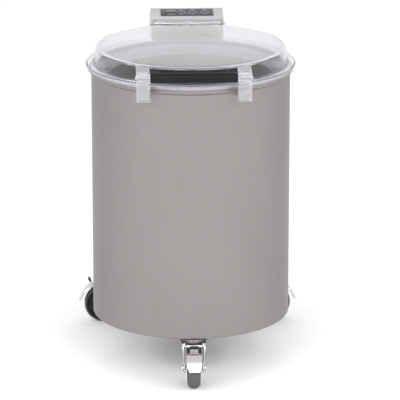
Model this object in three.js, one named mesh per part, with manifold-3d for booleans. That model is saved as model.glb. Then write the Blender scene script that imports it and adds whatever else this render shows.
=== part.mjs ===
// Mobile electric spin dryer: a drum on three braked castors, with a clear latched lid, a lift-out
// basket on a belt-driven shaft, and a rear column that carries the motor and the control head.
// Millimetres, +Z up. The drum stands on the Z axis while it is built, with the front towards -Y,
// and the whole model is then centred on its own footprint.
import * as THREE from 'three';
import { mergeVertices } from 'three/addons/utils/BufferGeometryUtils.js';
import Module from 'manifold-3d';

// ---------------------------------------------------------------- driving dimensions
const gap = 0.3; // between pieces that rest on each other or are cut to each other
const runClearance = 0.5; // round a piece that turns or slides
const drumSegments = 40;
const smallSegments = 16;

// castors
const wheelDiameter = 95;
const tyreWidth = 31;
const rimDiameter = 66;
const rimWidth = 25;
const axleDiameter = 8;
const castorHeadRoom = 27; // top of the wheel to the top of the castor plate
const castorTrail = 35; // swivel axis to axle
const castorPlateSize = 66;
const castorPlateThickness = 4;
const castorRaceHeight = 9;
const forkWidth = 60; // across the crown
const forkLegWidth = 48; // over the two legs
const forkSheet = 3;
const frontCastorInset = 54; // front swivel axis inside the casing
const rearCastorSetBack = 52; // rear swivel axes behind the casing
const rearCastorInset = 59; // rear swivel axes inside the casing's side
const pedalWidth = 38;

// base plate and casing
const basePlateThickness = 5;
const basePlateInset = 17;
const casingDiameter = 484;
const casingHeight = 620;
const casingWall = 1.5;
const rimLip = 5;
const rimLipHeight = 9;

// tub, drain and tub mounts
const tubInset = 20; // casing to tub
const tubWall = 2;
const tubFloorRise = 86; // base plate to the underside of the tub floor
const tubFlareHeight = 30;
const drainBore = 38;
const drainWall = 3;
const drainDrop = 27; // below the base plate
const tubMountDiameter = 30;

// rotor
const shaftDiameter = 25;
const bearingDiameter = 52;
const bearingWidth = 15;
const housingWall = 7;
const housingFlangeDiameter = 140;
const drivenPulleyDiameter = 124;
const motorPulleyDiameter = 54;
const pulleyHeight = 18;
const pulleyGrooveDepth = 7;
const beltThickness = 6;
const hubDiameter = 110;
const hubSpigotDiameter = 44;
const hubSpigotHeight = 26;

// basket
const basketSideRoom = 17; // tub to basket
const basketTopRoom = 21; // basket rim below the casing rim
const basketWall = 3;
const basketRimWidth = 4;

// lid
const lidOverhang = 13; // lid skirt beyond the casing
const lidSheet = 4;
const lidSkirtHeight = 11.5;
const lidDomeHeight = 40;
const lidWallInset = 8; // lid wall inside the casing
const lidCrown = 3;
const sealHeight = 7.8;
const sealWidth = 8;

// grip and latches
const gripDiameter = 24;
const gripLength = 206;
const gripStandOff = 14; // grip axis in front of the casing
const gripRise = 21; // grip axis above the lid flange
const latchRodDiameter = 8;
const latchWidth = 33;
const latchCheek = 5.5;
const latchPlate = 4;
const latchDrop = 57; // grip axis to the lower end of the latch
const latchDepth = 23;

// hinge
const hingeSetBack = 8; // hinge axis behind the casing
const hingeDrop = 5; // hinge axis below the top of the lid
const hingePinDiameter = 7;
const knuckleDiameter = 15;

// control head, rear column and motor
const headWidth = 182;
const headStandOff = 20; // head front behind the casing
const headRise = 47; // head front edge above the lid flange
const headTopDepth = 70;
const panelTilt = THREE.MathUtils.degToRad(6.6);
const headSheet = 3;
const columnDepth = 223; // casing to the outside of the back cover
const columnSheet = 2;
const columnDrop = 2.6; // column top below the casing rim
const backCoverThickness = 2;
const keypadWidth = 132;
const keypadDepth = 48;
const keypadThickness = 1.5;
const buttonDiameter = 14;
const buttonSpacing = 30;
const buttonTravel = 1.2;
const motorDiameter = 120;
const motorHeight = 190;
const motorSetBack = 108; // motor axis behind the casing
const motorShaftDiameter = 16;
const motorMountSheet = 5;
const glandRadius = 8;

// ---------------------------------------------------------------- derived levels and radii
const casingRadius = casingDiameter / 2;
const casingInnerRadius = casingRadius - casingWall;
const lipRadius = casingRadius + rimLip;
const wheelRadius = wheelDiameter / 2;
const castorHeight = wheelDiameter + castorHeadRoom; // floor to the top of the castor plate
const frontCastorReach = casingRadius - frontCastorInset;
const rearCastorReach = casingRadius + rearCastorSetBack;
const rearCastorSpread = casingRadius - rearCastorInset;
const basePlateRadius = casingRadius - basePlateInset;
const tubRadius = casingRadius - tubInset;
const basketRadius = tubRadius - basketSideRoom;
const motorReach = casingRadius + motorSetBack;
const baseBottom = castorHeight + gap;
const baseTop = baseBottom + basePlateThickness;
const casingBottom = baseTop + gap;
const rimTop = casingBottom + casingHeight;
const lipBottom = rimTop - rimLipHeight;
const tubFloorUnder = baseTop + tubFloorRise;
const tubFloorTop = tubFloorUnder + tubWall;
const sealTop = rimTop + gap + sealHeight;
const lidFlangeUnder = sealTop + gap;
const lidFlangeTop = lidFlangeUnder + lidSheet;
const lidTop = lidFlangeTop + lidDomeHeight;
const lidWallRadius = casingRadius - lidWallInset;
const skirtRadius = casingRadius + lidOverhang;
const hingeY = casingRadius + hingeSetBack;
const hingeZ = lidTop - hingeDrop;
const gripY = -(casingRadius + gripStandOff);
const gripZ = lidFlangeTop + gripRise;
const latchX = gripLength / 2 + runClearance + latchWidth / 2;
const columnTop = rimTop - columnDrop;
const backY = casingRadius + columnDepth;
const headFrontY = casingRadius + headStandOff;
const headFrontTop = lidFlangeTop + headRise;
const headBottom = columnTop + gap;
const housingTop = tubFloorUnder - gap;
const housingBottom = housingTop - 2 * bearingWidth - 12;
const pulleyTop = housingBottom - 5;
const pulleyBottom = pulleyTop - pulleyHeight;
const hubBottom = tubFloorTop + 13;
const hubTop = hubBottom + 8;
const basketBottom = hubTop + gap;
const drainPlace = new THREE.Vector2(-0.54 * tubRadius, 0.18 * tubRadius);

// ---------------------------------------------------------------- materials
function finish(colour, roughness, metalness, opacity = 1) {
  const material = new THREE.MeshStandardMaterial({ color: colour, roughness, metalness });
  material.transparent = opacity < 1;
  material.opacity = opacity;
  return material;
}
const satinSteel = finish(0xa5a09d, 0.42, 0.9);
const brightSteel = finish(0xc8c8ca, 0.25, 1);
const chromedSteel = finish(0xb5b0b3, 0.15, 1);
const clearPlastic = finish(0xe8eaee, 0.08, 0, 0.35);
const greyPlastic = finish(0xb9bab9, 0.5, 0);
const darkPlastic = finish(0x2a2930, 0.45, 0);
const blackRubber = finish(0x1c1c1d, 0.85, 0);
const greyTyre = finish(0x6b6b6a, 0.8, 0);
const paleSilicone = finish(0xd0d0d2, 0.6, 0);
const castIron = finish(0x5a5c5e, 0.65, 0.6);
const keypadFilm = finish(0x6b6a6e, 0.35, 0);
const buttonPlastic = finish(0x4c4b50, 0.4, 0);
const boardGreen = finish(0x2f5b3c, 0.6, 0);

// ---------------------------------------------------------------- solids
const wasm = await Module();
wasm.setup();

// Shared vertices merged, flattened triangles dropped and every face turned outwards.
function closed(geometry) {
  const bare = geometry.index ? geometry.clone() : geometry;
  bare.deleteAttribute('normal');
  bare.deleteAttribute('uv');
  const merged = mergeVertices(bare, 1e-4);
  const at = merged.attributes.position;
  const corners = merged.index.array;
  const kept = [];
  const a = new THREE.Vector3();
  const b = new THREE.Vector3();
  const c = new THREE.Vector3();
  let volume = 0;
  for (let i = 0; i < corners.length; i += 3) {
    const [p, q, r] = [corners[i], corners[i + 1], corners[i + 2]];
    if (p === q || q === r || r === p) continue;
    a.fromBufferAttribute(at, p);
    b.fromBufferAttribute(at, q);
    c.fromBufferAttribute(at, r);
    volume += a.dot(b.cross(c));
    kept.push(p, q, r);
  }
  if (volume < 0) kept.reverse();
  merged.setIndex(kept);
  return merged;
}

function solid(geometry) {
  const mesh = closed(geometry);
  const vertProperties = Float32Array.from(mesh.attributes.position.array);
  const triVerts = Uint32Array.from(mesh.index.array);
  return new wasm.Manifold(new wasm.Mesh({ numProp: 3, vertProperties, triVerts }));
}

function shapeOf(body) {
  const mesh = body.getMesh();
  const geometry = new THREE.BufferGeometry();
  geometry.setAttribute('position', new THREE.BufferAttribute(mesh.vertProperties, 3));
  geometry.setIndex(new THREE.BufferAttribute(mesh.triVerts, 1));
  return geometry;
}

// A body turned round the Z axis from [radius, height] points.
function turned(points, segments = drumSegments) {
  const profile = points.map(([radius, height]) => new THREE.Vector2(radius, height));
  const first = points[0];
  const last = points[points.length - 1];
  if (first[0] > 0 || last[0] > 0) profile.push(profile[0].clone());
  return closed(new THREE.LatheGeometry(profile, segments).rotateX(Math.PI / 2));
}

function disc(radius, low, high, segments = drumSegments) {
  return turned([[0, low], [radius, low], [radius, high], [0, high]], segments);
}

function ring(inner, outer, low, high, segments = drumSegments) {
  return turned([[inner, low], [outer, low], [outer, high], [inner, high]], segments);
}

function block(lowX, highX, lowY, highY, lowZ, highZ) {
  const box = new THREE.BoxGeometry(highX - lowX, highY - lowY, highZ - lowZ);
  return box.translate((lowX + highX) / 2, (lowY + highY) / 2, (lowZ + highZ) / 2);
}

function outline(points) {
  return new THREE.Shape(points.map(([x, y]) => new THREE.Vector2(x, y)));
}

// An outline in the Y-Z plane carried along X, centred on x = middle.
const sideways = new THREE.Matrix4().makeBasis(
  new THREE.Vector3(0, 1, 0), new THREE.Vector3(0, 0, 1), new THREE.Vector3(1, 0, 0));
function sideBar(shape, width, middle = 0) {
  const bar = new THREE.ExtrudeGeometry(shape, { depth: width, bevelEnabled: false, curveSegments: 8 });
  return bar.translate(0, 0, middle - width / 2).applyMatrix4(sideways);
}

// A round bar along X through (y, z).
function crossBar(radius, lowX, highX, y, z, segments = smallSegments) {
  return disc(radius, lowX, highX, segments).rotateY(Math.PI / 2).translate(0, y, z);
}

function joined(...geometries) {
  return geometries.map(solid).reduce((whole, piece) => whole.add(piece));
}

function cut(body, ...tools) {
  return tools.map(solid).reduce((rest, tool) => rest.subtract(tool), body);
}

function addPiece(group, name, geometry, material) {
  const mesh = new THREE.Mesh(geometry, material);
  mesh.name = name;
  group.add(mesh);
  return mesh;
}

const model = new THREE.Group();

// ---------------------------------------------------------------- chassis and drum
function basePlate() {
  const wing = rearCastorSpread + castorPlateSize / 2 + 2;
  const wingFront = rearCastorReach - 1.7 * castorPlateSize;
  const wingBack = rearCastorReach + castorPlateSize / 2 + 2;
  const plate = joined(
    disc(basePlateRadius, baseBottom, baseTop),
    block(-wing, wing, wingFront, wingBack, baseBottom, baseTop),
    block(-headWidth / 2, headWidth / 2, wingFront, backY - backCoverThickness, baseBottom, baseTop),
  );
  const drainHole = disc(drainBore / 2 + drainWall + runClearance, baseBottom - 1, baseTop + 1, smallSegments);
  drainHole.translate(drainPlace.x, drainPlace.y, 0);
  return shapeOf(cut(plate, drainHole));
}

function outerCasing() {
  const shell = turned([
    [casingInnerRadius - 22, casingBottom],
    [casingRadius, casingBottom],
    [casingRadius, lipBottom - rimLip],
    [lipRadius, lipBottom],
    [lipRadius, rimTop],
    [casingInnerRadius, rimTop],
    [casingInnerRadius, casingBottom + 2],
    [casingInnerRadius - 22, casingBottom + 2],
  ]);
  const slotHalf = drivenPulleyDiameter / 2 - 16;
  const beltSlot = block(-slotHalf, slotHalf, casingRadius - 30, casingRadius + 10,
    pulleyBottom - 3, pulleyTop + 3);
  return shapeOf(cut(solid(shell), beltSlot));
}

function innerTub() {
  const outside = tubRadius;
  const top = casingInnerRadius - gap;
  const centreHole = housingBoreRadius() + 4;
  const shell = turned([
    [centreHole, tubFloorUnder],
    [outside, tubFloorUnder],
    [outside, rimTop - tubFlareHeight],
    [top, rimTop - tubFlareHeight / 3],
    [top, rimTop],
    [top - tubWall, rimTop],
    [top - tubWall, rimTop - tubFlareHeight / 3 + 1],
    [outside - tubWall, rimTop - tubFlareHeight + 1],
    [outside - tubWall, tubFloorTop],
    [centreHole, tubFloorTop],
  ]);
  const drainHole = disc(drainBore / 2, tubFloorUnder - 1, tubFloorTop + 1, smallSegments);
  drainHole.translate(drainPlace.x, drainPlace.y, 0);
  return shapeOf(cut(solid(shell), drainHole));
}

function drainSpout() {
  const inner = drainBore / 2;
  const outer = inner + drainWall;
  const top = tubFloorUnder - gap;
  const spout = turned([
    [inner, baseBottom - drainDrop],
    [outer, baseBottom - drainDrop],
    [outer, top - 4],
    [outer + 8, top - 4],
    [outer + 8, top],
    [inner, top],
  ], smallSegments);
  return spout.translate(drainPlace.x, drainPlace.y, 0);
}

function tubMount() {
  const radius = tubMountDiameter / 2;
  const low = baseTop + gap;
  const high = tubFloorUnder - gap;
  const middle = (low + high) / 2;
  return turned([
    [0, low], [radius, low], [radius, low + 8], [radius - 4, middle],
    [radius, high - 8], [radius, high], [0, high],
  ], smallSegments);
}

function rimSeal() {
  const outer = casingInnerRadius + 2.5;
  return ring(outer - sealWidth, outer, rimTop + gap, sealTop);
}

// ---------------------------------------------------------------- shaft, bearings and drive
function housingBoreRadius() {
  return bearingDiameter / 2 + gap;
}

function bearingHousing() {
  const bore = housingBoreRadius();
  const barrel = bore + housingWall;
  const shoulder = shaftDiameter / 2 + 5;
  const flange = housingFlangeDiameter / 2;
  const lowSeat = housingBottom + bearingWidth + gap;
  const highSeat = housingTop - bearingWidth - gap;
  return turned([
    [bore, housingBottom], [barrel, housingBottom], [barrel, housingTop - 8], [flange, housingTop - 8],
    [flange, housingTop], [bore, housingTop], [bore, highSeat], [shoulder, highSeat],
    [shoulder, lowSeat], [bore, lowSeat],
  ], smallSegments);
}

function ballBearing(bottom) {
  return ring(shaftDiameter / 2 + runClearance, bearingDiameter / 2, bottom, bottom + bearingWidth, smallSegments);
}

function shaftSeal() {
  const inner = shaftDiameter / 2 + runClearance;
  const outer = bearingDiameter / 2 + 2;
  const low = housingTop + gap;
  return turned([
    [inner, low], [outer, low], [outer, low + 4], [inner + 4, tubFloorTop + 8], [inner, tubFloorTop + 8],
  ], smallSegments);
}

function driveShaft() {
  const radius = shaftDiameter / 2;
  return disc(radius, pulleyBottom - 3, hubTop + hubSpigotHeight - 8, smallSegments);
}

function pulley(diameter, boreDiameter) {
  const outer = diameter / 2;
  const bore = boreDiameter / 2 + gap;
  const groove = outer - pulleyGrooveDepth;
  return turned([
    [bore, pulleyBottom], [outer, pulleyBottom], [outer, pulleyBottom + 3], [groove, pulleyBottom + 4],
    [groove, pulleyTop - 4], [outer, pulleyTop - 3], [outer, pulleyTop], [bore, pulleyTop],
  ], smallSegments);
}

function driveHub() {
  const bore = shaftDiameter / 2 + gap;
  const spigot = hubSpigotDiameter / 2;
  const top = hubTop + hubSpigotHeight;
  return turned([
    [bore, hubBottom], [hubDiameter / 2, hubBottom], [hubDiameter / 2, hubTop], [spigot, hubTop],
    [spigot - 2, top], [bore, top],
  ], smallSegments);
}

// The belt loop: arcs round both pulleys joined by the outer tangents, set out by loopRadius().
function beltLoop(drivenRadius, motorRadius) {
  const lean = Math.asin((drivenRadius - motorRadius) / motorReach);
  const loop = new THREE.Path();
  loop.absarc(0, 0, drivenRadius, Math.PI - lean, 2 * Math.PI + lean, false);
  loop.absarc(0, motorReach, motorRadius, lean, Math.PI - lean, false);
  return loop;
}

function driveBelt() {
  const seat = runClearance - pulleyGrooveDepth;
  const drivenSeat = drivenPulleyDiameter / 2 + seat;
  const motorSeat = motorPulleyDiameter / 2 + seat;
  const outside = beltLoop(drivenSeat + beltThickness, motorSeat + beltThickness);
  const shape = new THREE.Shape(outside.getPoints(16));
  shape.holes.push(beltLoop(drivenSeat, motorSeat));
  const height = pulleyHeight - 10;
  const belt = new THREE.ExtrudeGeometry(shape, { depth: height, bevelEnabled: false, curveSegments: 16 });
  return belt.translate(0, 0, (pulleyTop + pulleyBottom - height) / 2);
}

function motorMount() {
  const half = motorDiameter / 2 + 12;
  const foot = baseTop + gap;
  const deck = tubFloorUnder + 8;
  const legs = [-1, 1].map((side) => {
    const inner = side * (half - motorMountSheet);
    const outer = side * half;
    return block(Math.min(inner, outer), Math.max(inner, outer), motorReach - half, motorReach + half, foot, deck);
  });
  const top = block(-half, half, motorReach - half, motorReach + half, deck - motorMountSheet, deck);
  const eye = disc(motorPulleyDiameter / 2 + 3, foot, deck + 1, smallSegments).translate(0, motorReach, 0);
  return shapeOf(cut(joined(...legs, top), eye));
}

function motorBody() {
  const low = tubFloorUnder + 8 + gap;
  const high = low + motorHeight;
  const outer = motorDiameter / 2;
  const bore = motorShaftDiameter / 2 + runClearance;
  const body = turned([
    [bore, low], [outer, low], [outer, low + 8], [outer - 4, low + 12], [outer - 4, high - 30],
    [outer, high - 26], [outer, high - 6], [outer - 8, high], [0, high], [0, high - 40], [bore, high - 40],
  ]);
  return body.translate(0, motorReach, 0);
}

function motorShaft() {
  const low = tubFloorUnder + 8 + gap;
  const top = low + motorHeight - 42;
  const shaft = disc(motorShaftDiameter / 2, pulleyBottom - 3, top, smallSegments);
  return shaft.translate(0, motorReach, 0);
}

function basket() {
  const outer = basketRadius;
  const top = rimTop - basketTopRoom;
  const socket = hubSpigotDiameter / 2 + runClearance;
  const socketTop = hubTop + hubSpigotHeight + 3;
  return turned([
    [socket, basketBottom],
    [outer - 6, basketBottom],
    [outer, basketBottom + 8],
    [outer, top - 5],
    [outer + basketRimWidth, top - 5],
    [outer + basketRimWidth, top],
    [outer - basketWall, top],
    [outer - basketWall, basketBottom + 8],
    [outer - basketWall - 5, basketBottom + basketWall],
    [socket + basketWall + 8, basketBottom + basketWall],
    [socket + basketWall, socketTop + basketWall],
    [0, socketTop + basketWall],
    [0, socketTop],
    [socket, socketTop],
  ]);
}

// ---------------------------------------------------------------- lid, grip and latches
function lidDome() {
  const inside = lidWallRadius - lidSheet;
  const skirtBottom = lidFlangeTop - lidSkirtHeight;
  const shell = turned([
    [0, lidTop + lidCrown], [lidWallRadius * 0.6, lidTop + lidCrown * 0.7], [lidWallRadius - 8, lidTop],
    [lidWallRadius - 2, lidTop - 5], [lidWallRadius, lidFlangeTop], [skirtRadius, lidFlangeTop],
    [skirtRadius, skirtBottom], [skirtRadius - lidSheet, skirtBottom], [skirtRadius - lidSheet, lidFlangeUnder],
    [inside, lidFlangeUnder], [inside - 2, lidTop - 7], [inside - 6, lidTop - lidSheet],
    [lidWallRadius * 0.6, lidTop + lidCrown * 0.7 - lidSheet], [0, lidTop + lidCrown - lidSheet],
  ]);
  // The skirt stops short at the back, so that it clears the rim seal as the lid swings up.
  const notch = block(-0.6 * casingRadius, 0.6 * casingRadius, casingRadius / 2, skirtRadius + 5,
    skirtBottom - 2, lidFlangeUnder - 0.01);
  return shapeOf(cut(solid(shell), notch));
}

// Knuckle places along the hinge: [middle, width].
const leafHalf = headWidth / 2 - 7;
const knuckles = [[-leafHalf + 12, 24], [0, 22], [leafHalf - 12, 24]];

function hingeLeaf() {
  const webBack = hingeY - 3;
  const web = block(-leafHalf, leafHalf, webBack - 6, webBack, lidFlangeTop + gap, hingeZ - 8);
  const arms = knuckles.map(([middle, width]) => joined(
    block(middle - width / 2, middle + width / 2, webBack - 6, webBack, hingeZ - 9, hingeZ),
    crossBar(knuckleDiameter / 2, middle - width / 2, middle + width / 2, hingeY, hingeZ),
  ));
  const leaf = arms.reduce((whole, arm) => whole.add(arm), solid(web));
  const lidWall = disc(lidWallRadius + gap, lidFlangeTop - 1, lidTop + 10);
  const pinHole = crossBar(hingePinDiameter / 2 + gap, -headWidth, headWidth, hingeY, hingeZ);
  return shapeOf(cut(leaf, lidWall, pinHole));
}

function hingePin() {
  const half = headWidth / 2 + 4;
  return crossBar(hingePinDiameter / 2, -half, half, hingeY, hingeZ);
}

function lidMagnet() {
  const back = hingeY - 3 - 6 - gap;
  return block(34, 54, back - 4, back, lidFlangeTop + 1, lidFlangeTop + 9);
}

function latchBracket(side) {
  const middle = side * latchX;
  const front = gripY + 13.5;
  const body = sideBar(outline([
    [front + 65, lidTop - 1], [front, lidTop - 8], [front, gripZ - 6], [front + 12, lidFlangeTop + gap],
    [front + 65, lidFlangeTop + gap],
  ]), latchWidth, middle);
  const tongueHalf = latchWidth / 2 - latchCheek - runClearance;
  const tongue = sideBar(outline([
    [front + 6, gripZ + 11], [gripY, gripZ + 5.6], [gripY, gripZ - 5.6], [front + 6, gripZ - 8],
  ]), 2 * tongueHalf, middle);
  const boss = crossBar(5.7, middle - tongueHalf, middle + tongueHalf, gripY, gripZ);
  const lidWall = disc(lidWallRadius + gap, lidFlangeTop - 1, lidTop + 10);
  const pocket = sideBar(outline([
    [front + 70, lidTop - 5], [front + 8, lidTop - 12], [front + 8, lidFlangeTop + 8], [front + 70, lidFlangeTop + 8],
  ]), latchWidth - 8, middle);
  const rodHole = crossBar(latchRodDiameter / 2 + gap, -2 * latchX, 2 * latchX, gripY, gripZ);
  return shapeOf(cut(joined(body, tongue, boss), lidWall, pocket, rodHole));
}

function gripBar() {
  const bore = latchRodDiameter / 2 + gap;
  const outer = gripDiameter / 2;
  const half = gripLength / 2;
  const sleeve = turned([
    [bore, -half], [outer - 2, -half], [outer, -half + 2], [outer, half - 2], [outer - 2, half], [bore, half],
  ], smallSegments);
  return sleeve.rotateY(Math.PI / 2).translate(0, gripY, gripZ);
}

function latchRod() {
  const half = latchX + latchWidth / 2 + 2;
  return crossBar(latchRodDiameter / 2, -half, half, gripY, gripZ);
}

// A channel that hangs on the rod, with its cheeks ending in a nose below the rim lip.
function latch(side) {
  const middle = side * latchX;
  const front = gripY - 10;
  const noseTop = lipBottom - 1;
  const bottom = gripZ - latchDrop;
  const channel = sideBar(outline([
    [front, gripZ + 8], [gripY + 9, gripZ + 8], [front + latchDepth, gripZ - 18], [front + latchDepth, noseTop],
    [front + latchDepth + 48, noseTop], [front + latchDepth + 48, noseTop - 8], [front + latchDepth, bottom],
    [front, bottom],
  ]), latchWidth, middle);
  const pocket = block(middle - latchWidth / 2 + latchCheek, middle + latchWidth / 2 - latchCheek,
    front + latchPlate, gripY + 90, bottom + 6, gripZ + 20);
  const rodHole = crossBar(latchRodDiameter / 2 + gap, -2 * latchX, 2 * latchX, gripY, gripZ);
  const lip = disc(lipRadius + 2 * gap, bottom - 5, gripZ);
  return shapeOf(cut(solid(channel), pocket, rodHole, lip));
}

// ---------------------------------------------------------------- control head and rear column
function headOutline(inset, floor) {
  const front = headFrontY + inset;
  const rise = headTopDepth * Math.tan(panelTilt);
  return outline([
    [front, floor], [front, headFrontTop - 3 - inset / 2], [front + 3, headFrontTop - inset],
    [headFrontY + 3 + headTopDepth, headFrontTop + rise - inset],
    [headFrontY + 9 + headTopDepth - inset / 2, headFrontTop + rise - 3 - inset],
    [backY - inset, headBottom + 24 - inset / 2], [backY - inset, floor],
  ]);
}

// The panel's own frame: middle of the sloping top, Z along its normal.
const panelPlace = new THREE.Group();
panelPlace.position.set(0, headFrontY + 3 + headTopDepth / 2, headFrontTop + headTopDepth / 2 * Math.tan(panelTilt));
panelPlace.rotation.x = panelTilt;
panelPlace.updateMatrix();

function buttonHoles(depth) {
  return [-1, 0, 1].map((column) => {
    const hole = disc(buttonDiameter / 2 + gap, -depth, depth, smallSegments);
    return hole.translate(column * buttonSpacing + buttonSpacing / 2, 0, 0);
  });
}

function controlHead() {
  const shell = solid(sideBar(headOutline(0, headBottom), headWidth));
  const inside = sideBar(headOutline(headSheet, headBottom - 1), headWidth - 2 * headSheet);
  const earLow = headWidth / 2 - 5.5;
  const ears = [-1, 1].map((side) => solid(block(Math.min(side * earLow, side * headWidth / 2),
    Math.max(side * earLow, side * headWidth / 2), hingeY - 8, headFrontY + headSheet, hingeZ - 10, hingeZ + 8)));
  const pinHole = crossBar(hingePinDiameter / 2 + gap, -headWidth, headWidth, hingeY, hingeZ);
  const holes = buttonHoles(12).map((hole) => hole.applyMatrix4(panelPlace.matrix));
  const hollow = cut(shell, inside, ...holes);
  const eared = ears.reduce((whole, ear) => whole.add(ear), hollow);
  return shapeOf(cut(eared, pinHole));
}

function keypadPanel() {
  const film = block(-keypadWidth / 2, keypadWidth / 2, -keypadDepth / 2, keypadDepth / 2,
    gap, gap + keypadThickness);
  return shapeOf(cut(solid(film), ...buttonHoles(12)));
}

function pushButton(column) {
  const radius = buttonDiameter / 2;
  const top = gap + keypadThickness + buttonTravel + 0.6;
  const button = turned([
    [0, -5.5], [radius, -5.5], [radius, top - 0.6], [radius - 1, top], [0, top],
  ], smallSegments);
  return button.translate(column * buttonSpacing + buttonSpacing / 2, 0, 0);
}

function circuitBoard() {
  return block(-keypadWidth / 2 + 4, keypadWidth / 2 - 4, -keypadDepth / 2 + 4, keypadDepth / 2 - 4, -10, -8.4);
}

function displayWindow() {
  const middle = -keypadWidth / 2 + 26;
  return block(middle - 16, middle + 16, -9, 9, 2 * gap + keypadThickness, 2 * gap + keypadThickness + 0.8);
}

function lidSwitch() {
  const front = headFrontY + headSheet + gap;
  return block(30, 58, front, front + 12, lidFlangeTop - 2, lidFlangeTop + 14);
}

function rearColumn() {
  const half = headWidth / 2;
  const back = backY - backCoverThickness - gap;
  const foot = baseTop + gap;
  const walls = solid(block(-half, half, casingRadius * 0.8, back, foot, columnTop));
  const inner = half - columnSheet;
  const inside = block(-inner, inner, 0, back - columnSheet, foot - 1, columnTop - columnSheet);
  const backWindow = block(-inner + 14, inner - 14, back - 10, back + 10, foot - 1, columnTop - 20);
  const glandHole = disc(glandRadius + gap, -20, 20, smallSegments).rotateY(Math.PI / 2);
  glandHole.translate(half, glandY(), glandZ());
  const casingBore = disc(casingRadius + gap, 0, columnTop + 1);
  const lipBore = disc(lipRadius + gap, lipBottom - rimLip, columnTop + 1);
  return shapeOf(cut(walls, inside, backWindow, casingBore, lipBore, glandHole));
}

function columnBackCover() {
  const half = headWidth / 2;
  return block(-half, half, backY - backCoverThickness, backY, baseTop + gap, columnTop);
}

function glandY() {
  return backY - 45;
}

function glandZ() {
  return baseTop + 55;
}

function cableInlet() {
  const wall = headWidth / 2;
  const gland = turned([
    [4.5, -12], [glandRadius, -12], [glandRadius, gap], [13, gap], [13, 8], [10, 9], [8, 20], [4.5, 20],
  ], 12);
  return gland.rotateY(Math.PI / 2).translate(wall, glandY(), glandZ());
}

// ---------------------------------------------------------------- castors
// Each castor is built with its swivel axis on Z, its wheel trailing towards +X and the floor at 0.
const raceBottom = castorHeight - castorPlateThickness - castorRaceHeight;
const crownTop = raceBottom - gap;

function castorPlate() {
  const half = castorPlateSize / 2;
  const plate = block(-half, half, -half, half, castorHeight - castorPlateThickness, castorHeight);
  const race = disc(forkWidth / 2 - 3, raceBottom, castorHeight - castorPlateThickness + 0.01, smallSegments);
  const kingpinHole = disc(6 + runClearance, raceBottom - 1, castorHeight + 1, smallSegments);
  return shapeOf(cut(joined(plate, race), kingpinHole));
}

function castorFork() {
  const half = forkWidth / 2;
  const legHalf = forkLegWidth / 2;
  const legTop = crownTop - 0.01;
  const back = -20;
  const front = castorTrail - 4;
  const leg = new THREE.Shape();
  leg.moveTo(back, legTop);
  leg.lineTo(back, legTop - 10);
  leg.lineTo(castorTrail - 13, wheelRadius - 2);
  leg.absarc(castorTrail, wheelRadius, 12, Math.PI, 2 * Math.PI, false);
  leg.lineTo(front + 6, legTop - 8);
  leg.lineTo(front, legTop);
  const upright = new THREE.Matrix4().makeRotationX(Math.PI / 2);
  const legs = [-legHalf + forkSheet, legHalf].map((v) => {
    const plate = new THREE.ExtrudeGeometry(leg, { depth: forkSheet, bevelEnabled: false, curveSegments: 6 });
    return solid(plate.applyMatrix4(upright).translate(0, v, 0));
  });
  const crown = joined(block(back, front, -half, half, crownTop - forkSheet, crownTop),
    disc(6, crownTop - forkSheet - 6, castorHeight - 1, smallSegments));
  const fork = legs.reduce((whole, plate) => whole.add(plate), crown);
  const axleHole = disc(axleDiameter / 2 + gap, -half - 5, half + 5, 12).rotateX(Math.PI / 2);
  const pivotHole = disc(pedalPinRadius + gap, -half - 5, half + 5, 12).rotateX(Math.PI / 2);
  axleHole.translate(castorTrail, 0, wheelRadius);
  pivotHole.translate(pedalPivotX, 0, pedalPivotZ);
  return shapeOf(cut(fork, axleHole, pivotHole));
}

function castorAxle() {
  const half = forkLegWidth / 2 + gap;
  const bolt = turned([
    [0, -half - 5], [7, -half - 5], [7, -half], [axleDiameter / 2, -half], [axleDiameter / 2, half],
    [7, half], [7, half + 5], [0, half + 5],
  ], 12);
  return bolt.rotateX(Math.PI / 2).translate(castorTrail, 0, wheelRadius);
}

function castorRim() {
  const bore = axleDiameter / 2 + runClearance;
  const outer = rimDiameter / 2;
  const half = rimWidth / 2;
  const rim = turned([
    [bore, -half - 1], [11, -half - 1], [12, -4], [outer - 5, -4], [outer - 4, -half], [outer, -half],
    [outer, half], [outer - 4, half], [outer - 5, 4], [12, 4], [11, half + 1], [bore, half + 1],
  ], smallSegments);
  return rim.rotateX(Math.PI / 2).translate(castorTrail, 0, wheelRadius);
}

function castorTyre() {
  const inner = rimDiameter / 2 + gap;
  const half = tyreWidth / 2;
  const tyre = turned([
    [inner, -half + 2], [wheelRadius - 8, -half], [wheelRadius - 2.5, -half + 4], [wheelRadius, -half + 9],
    [wheelRadius, half - 9], [wheelRadius - 2.5, half - 4], [wheelRadius - 8, half], [inner, half - 2],
  ], 28);
  return tyre.rotateX(Math.PI / 2).translate(castorTrail, 0, wheelRadius);
}

// The pedal turns on a pin through the fork, above the tread.
const pedalPinRadius = 3;
const pedalPivotX = castorTrail - 5;
const pedalPivotZ = wheelRadius + wheelRadius + 6.5;

function castorPedal() {
  const x = pedalPivotX;
  const z = pedalPivotZ;
  const side = outline([
    [x - 4, z - 3], [x + 6, z - 3.5], [x + 26, z - 6], [x + 40, z - 11], [x + 54, z - 26], [x + 64, z - 46],
    [x + 67, z - 44], [x + 58, z - 23], [x + 46, z - 6], [x + 32, z], [x + 43, z + 12], [x + 39, z + 15],
    [x + 25, z + 3], [x + 4, z + 3.6], [x - 4, z + 3],
  ]);
  const lever = new THREE.ExtrudeGeometry(side, { depth: pedalWidth, bevelEnabled: false });
  lever.rotateX(Math.PI / 2).translate(0, pedalWidth / 2, 0);
  const half = forkLegWidth / 2 + 1;
  const pin = disc(pedalPinRadius, -half, half, 12).rotateX(Math.PI / 2).translate(x, 0, z);
  return shapeOf(joined(lever, pin));
}

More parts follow.
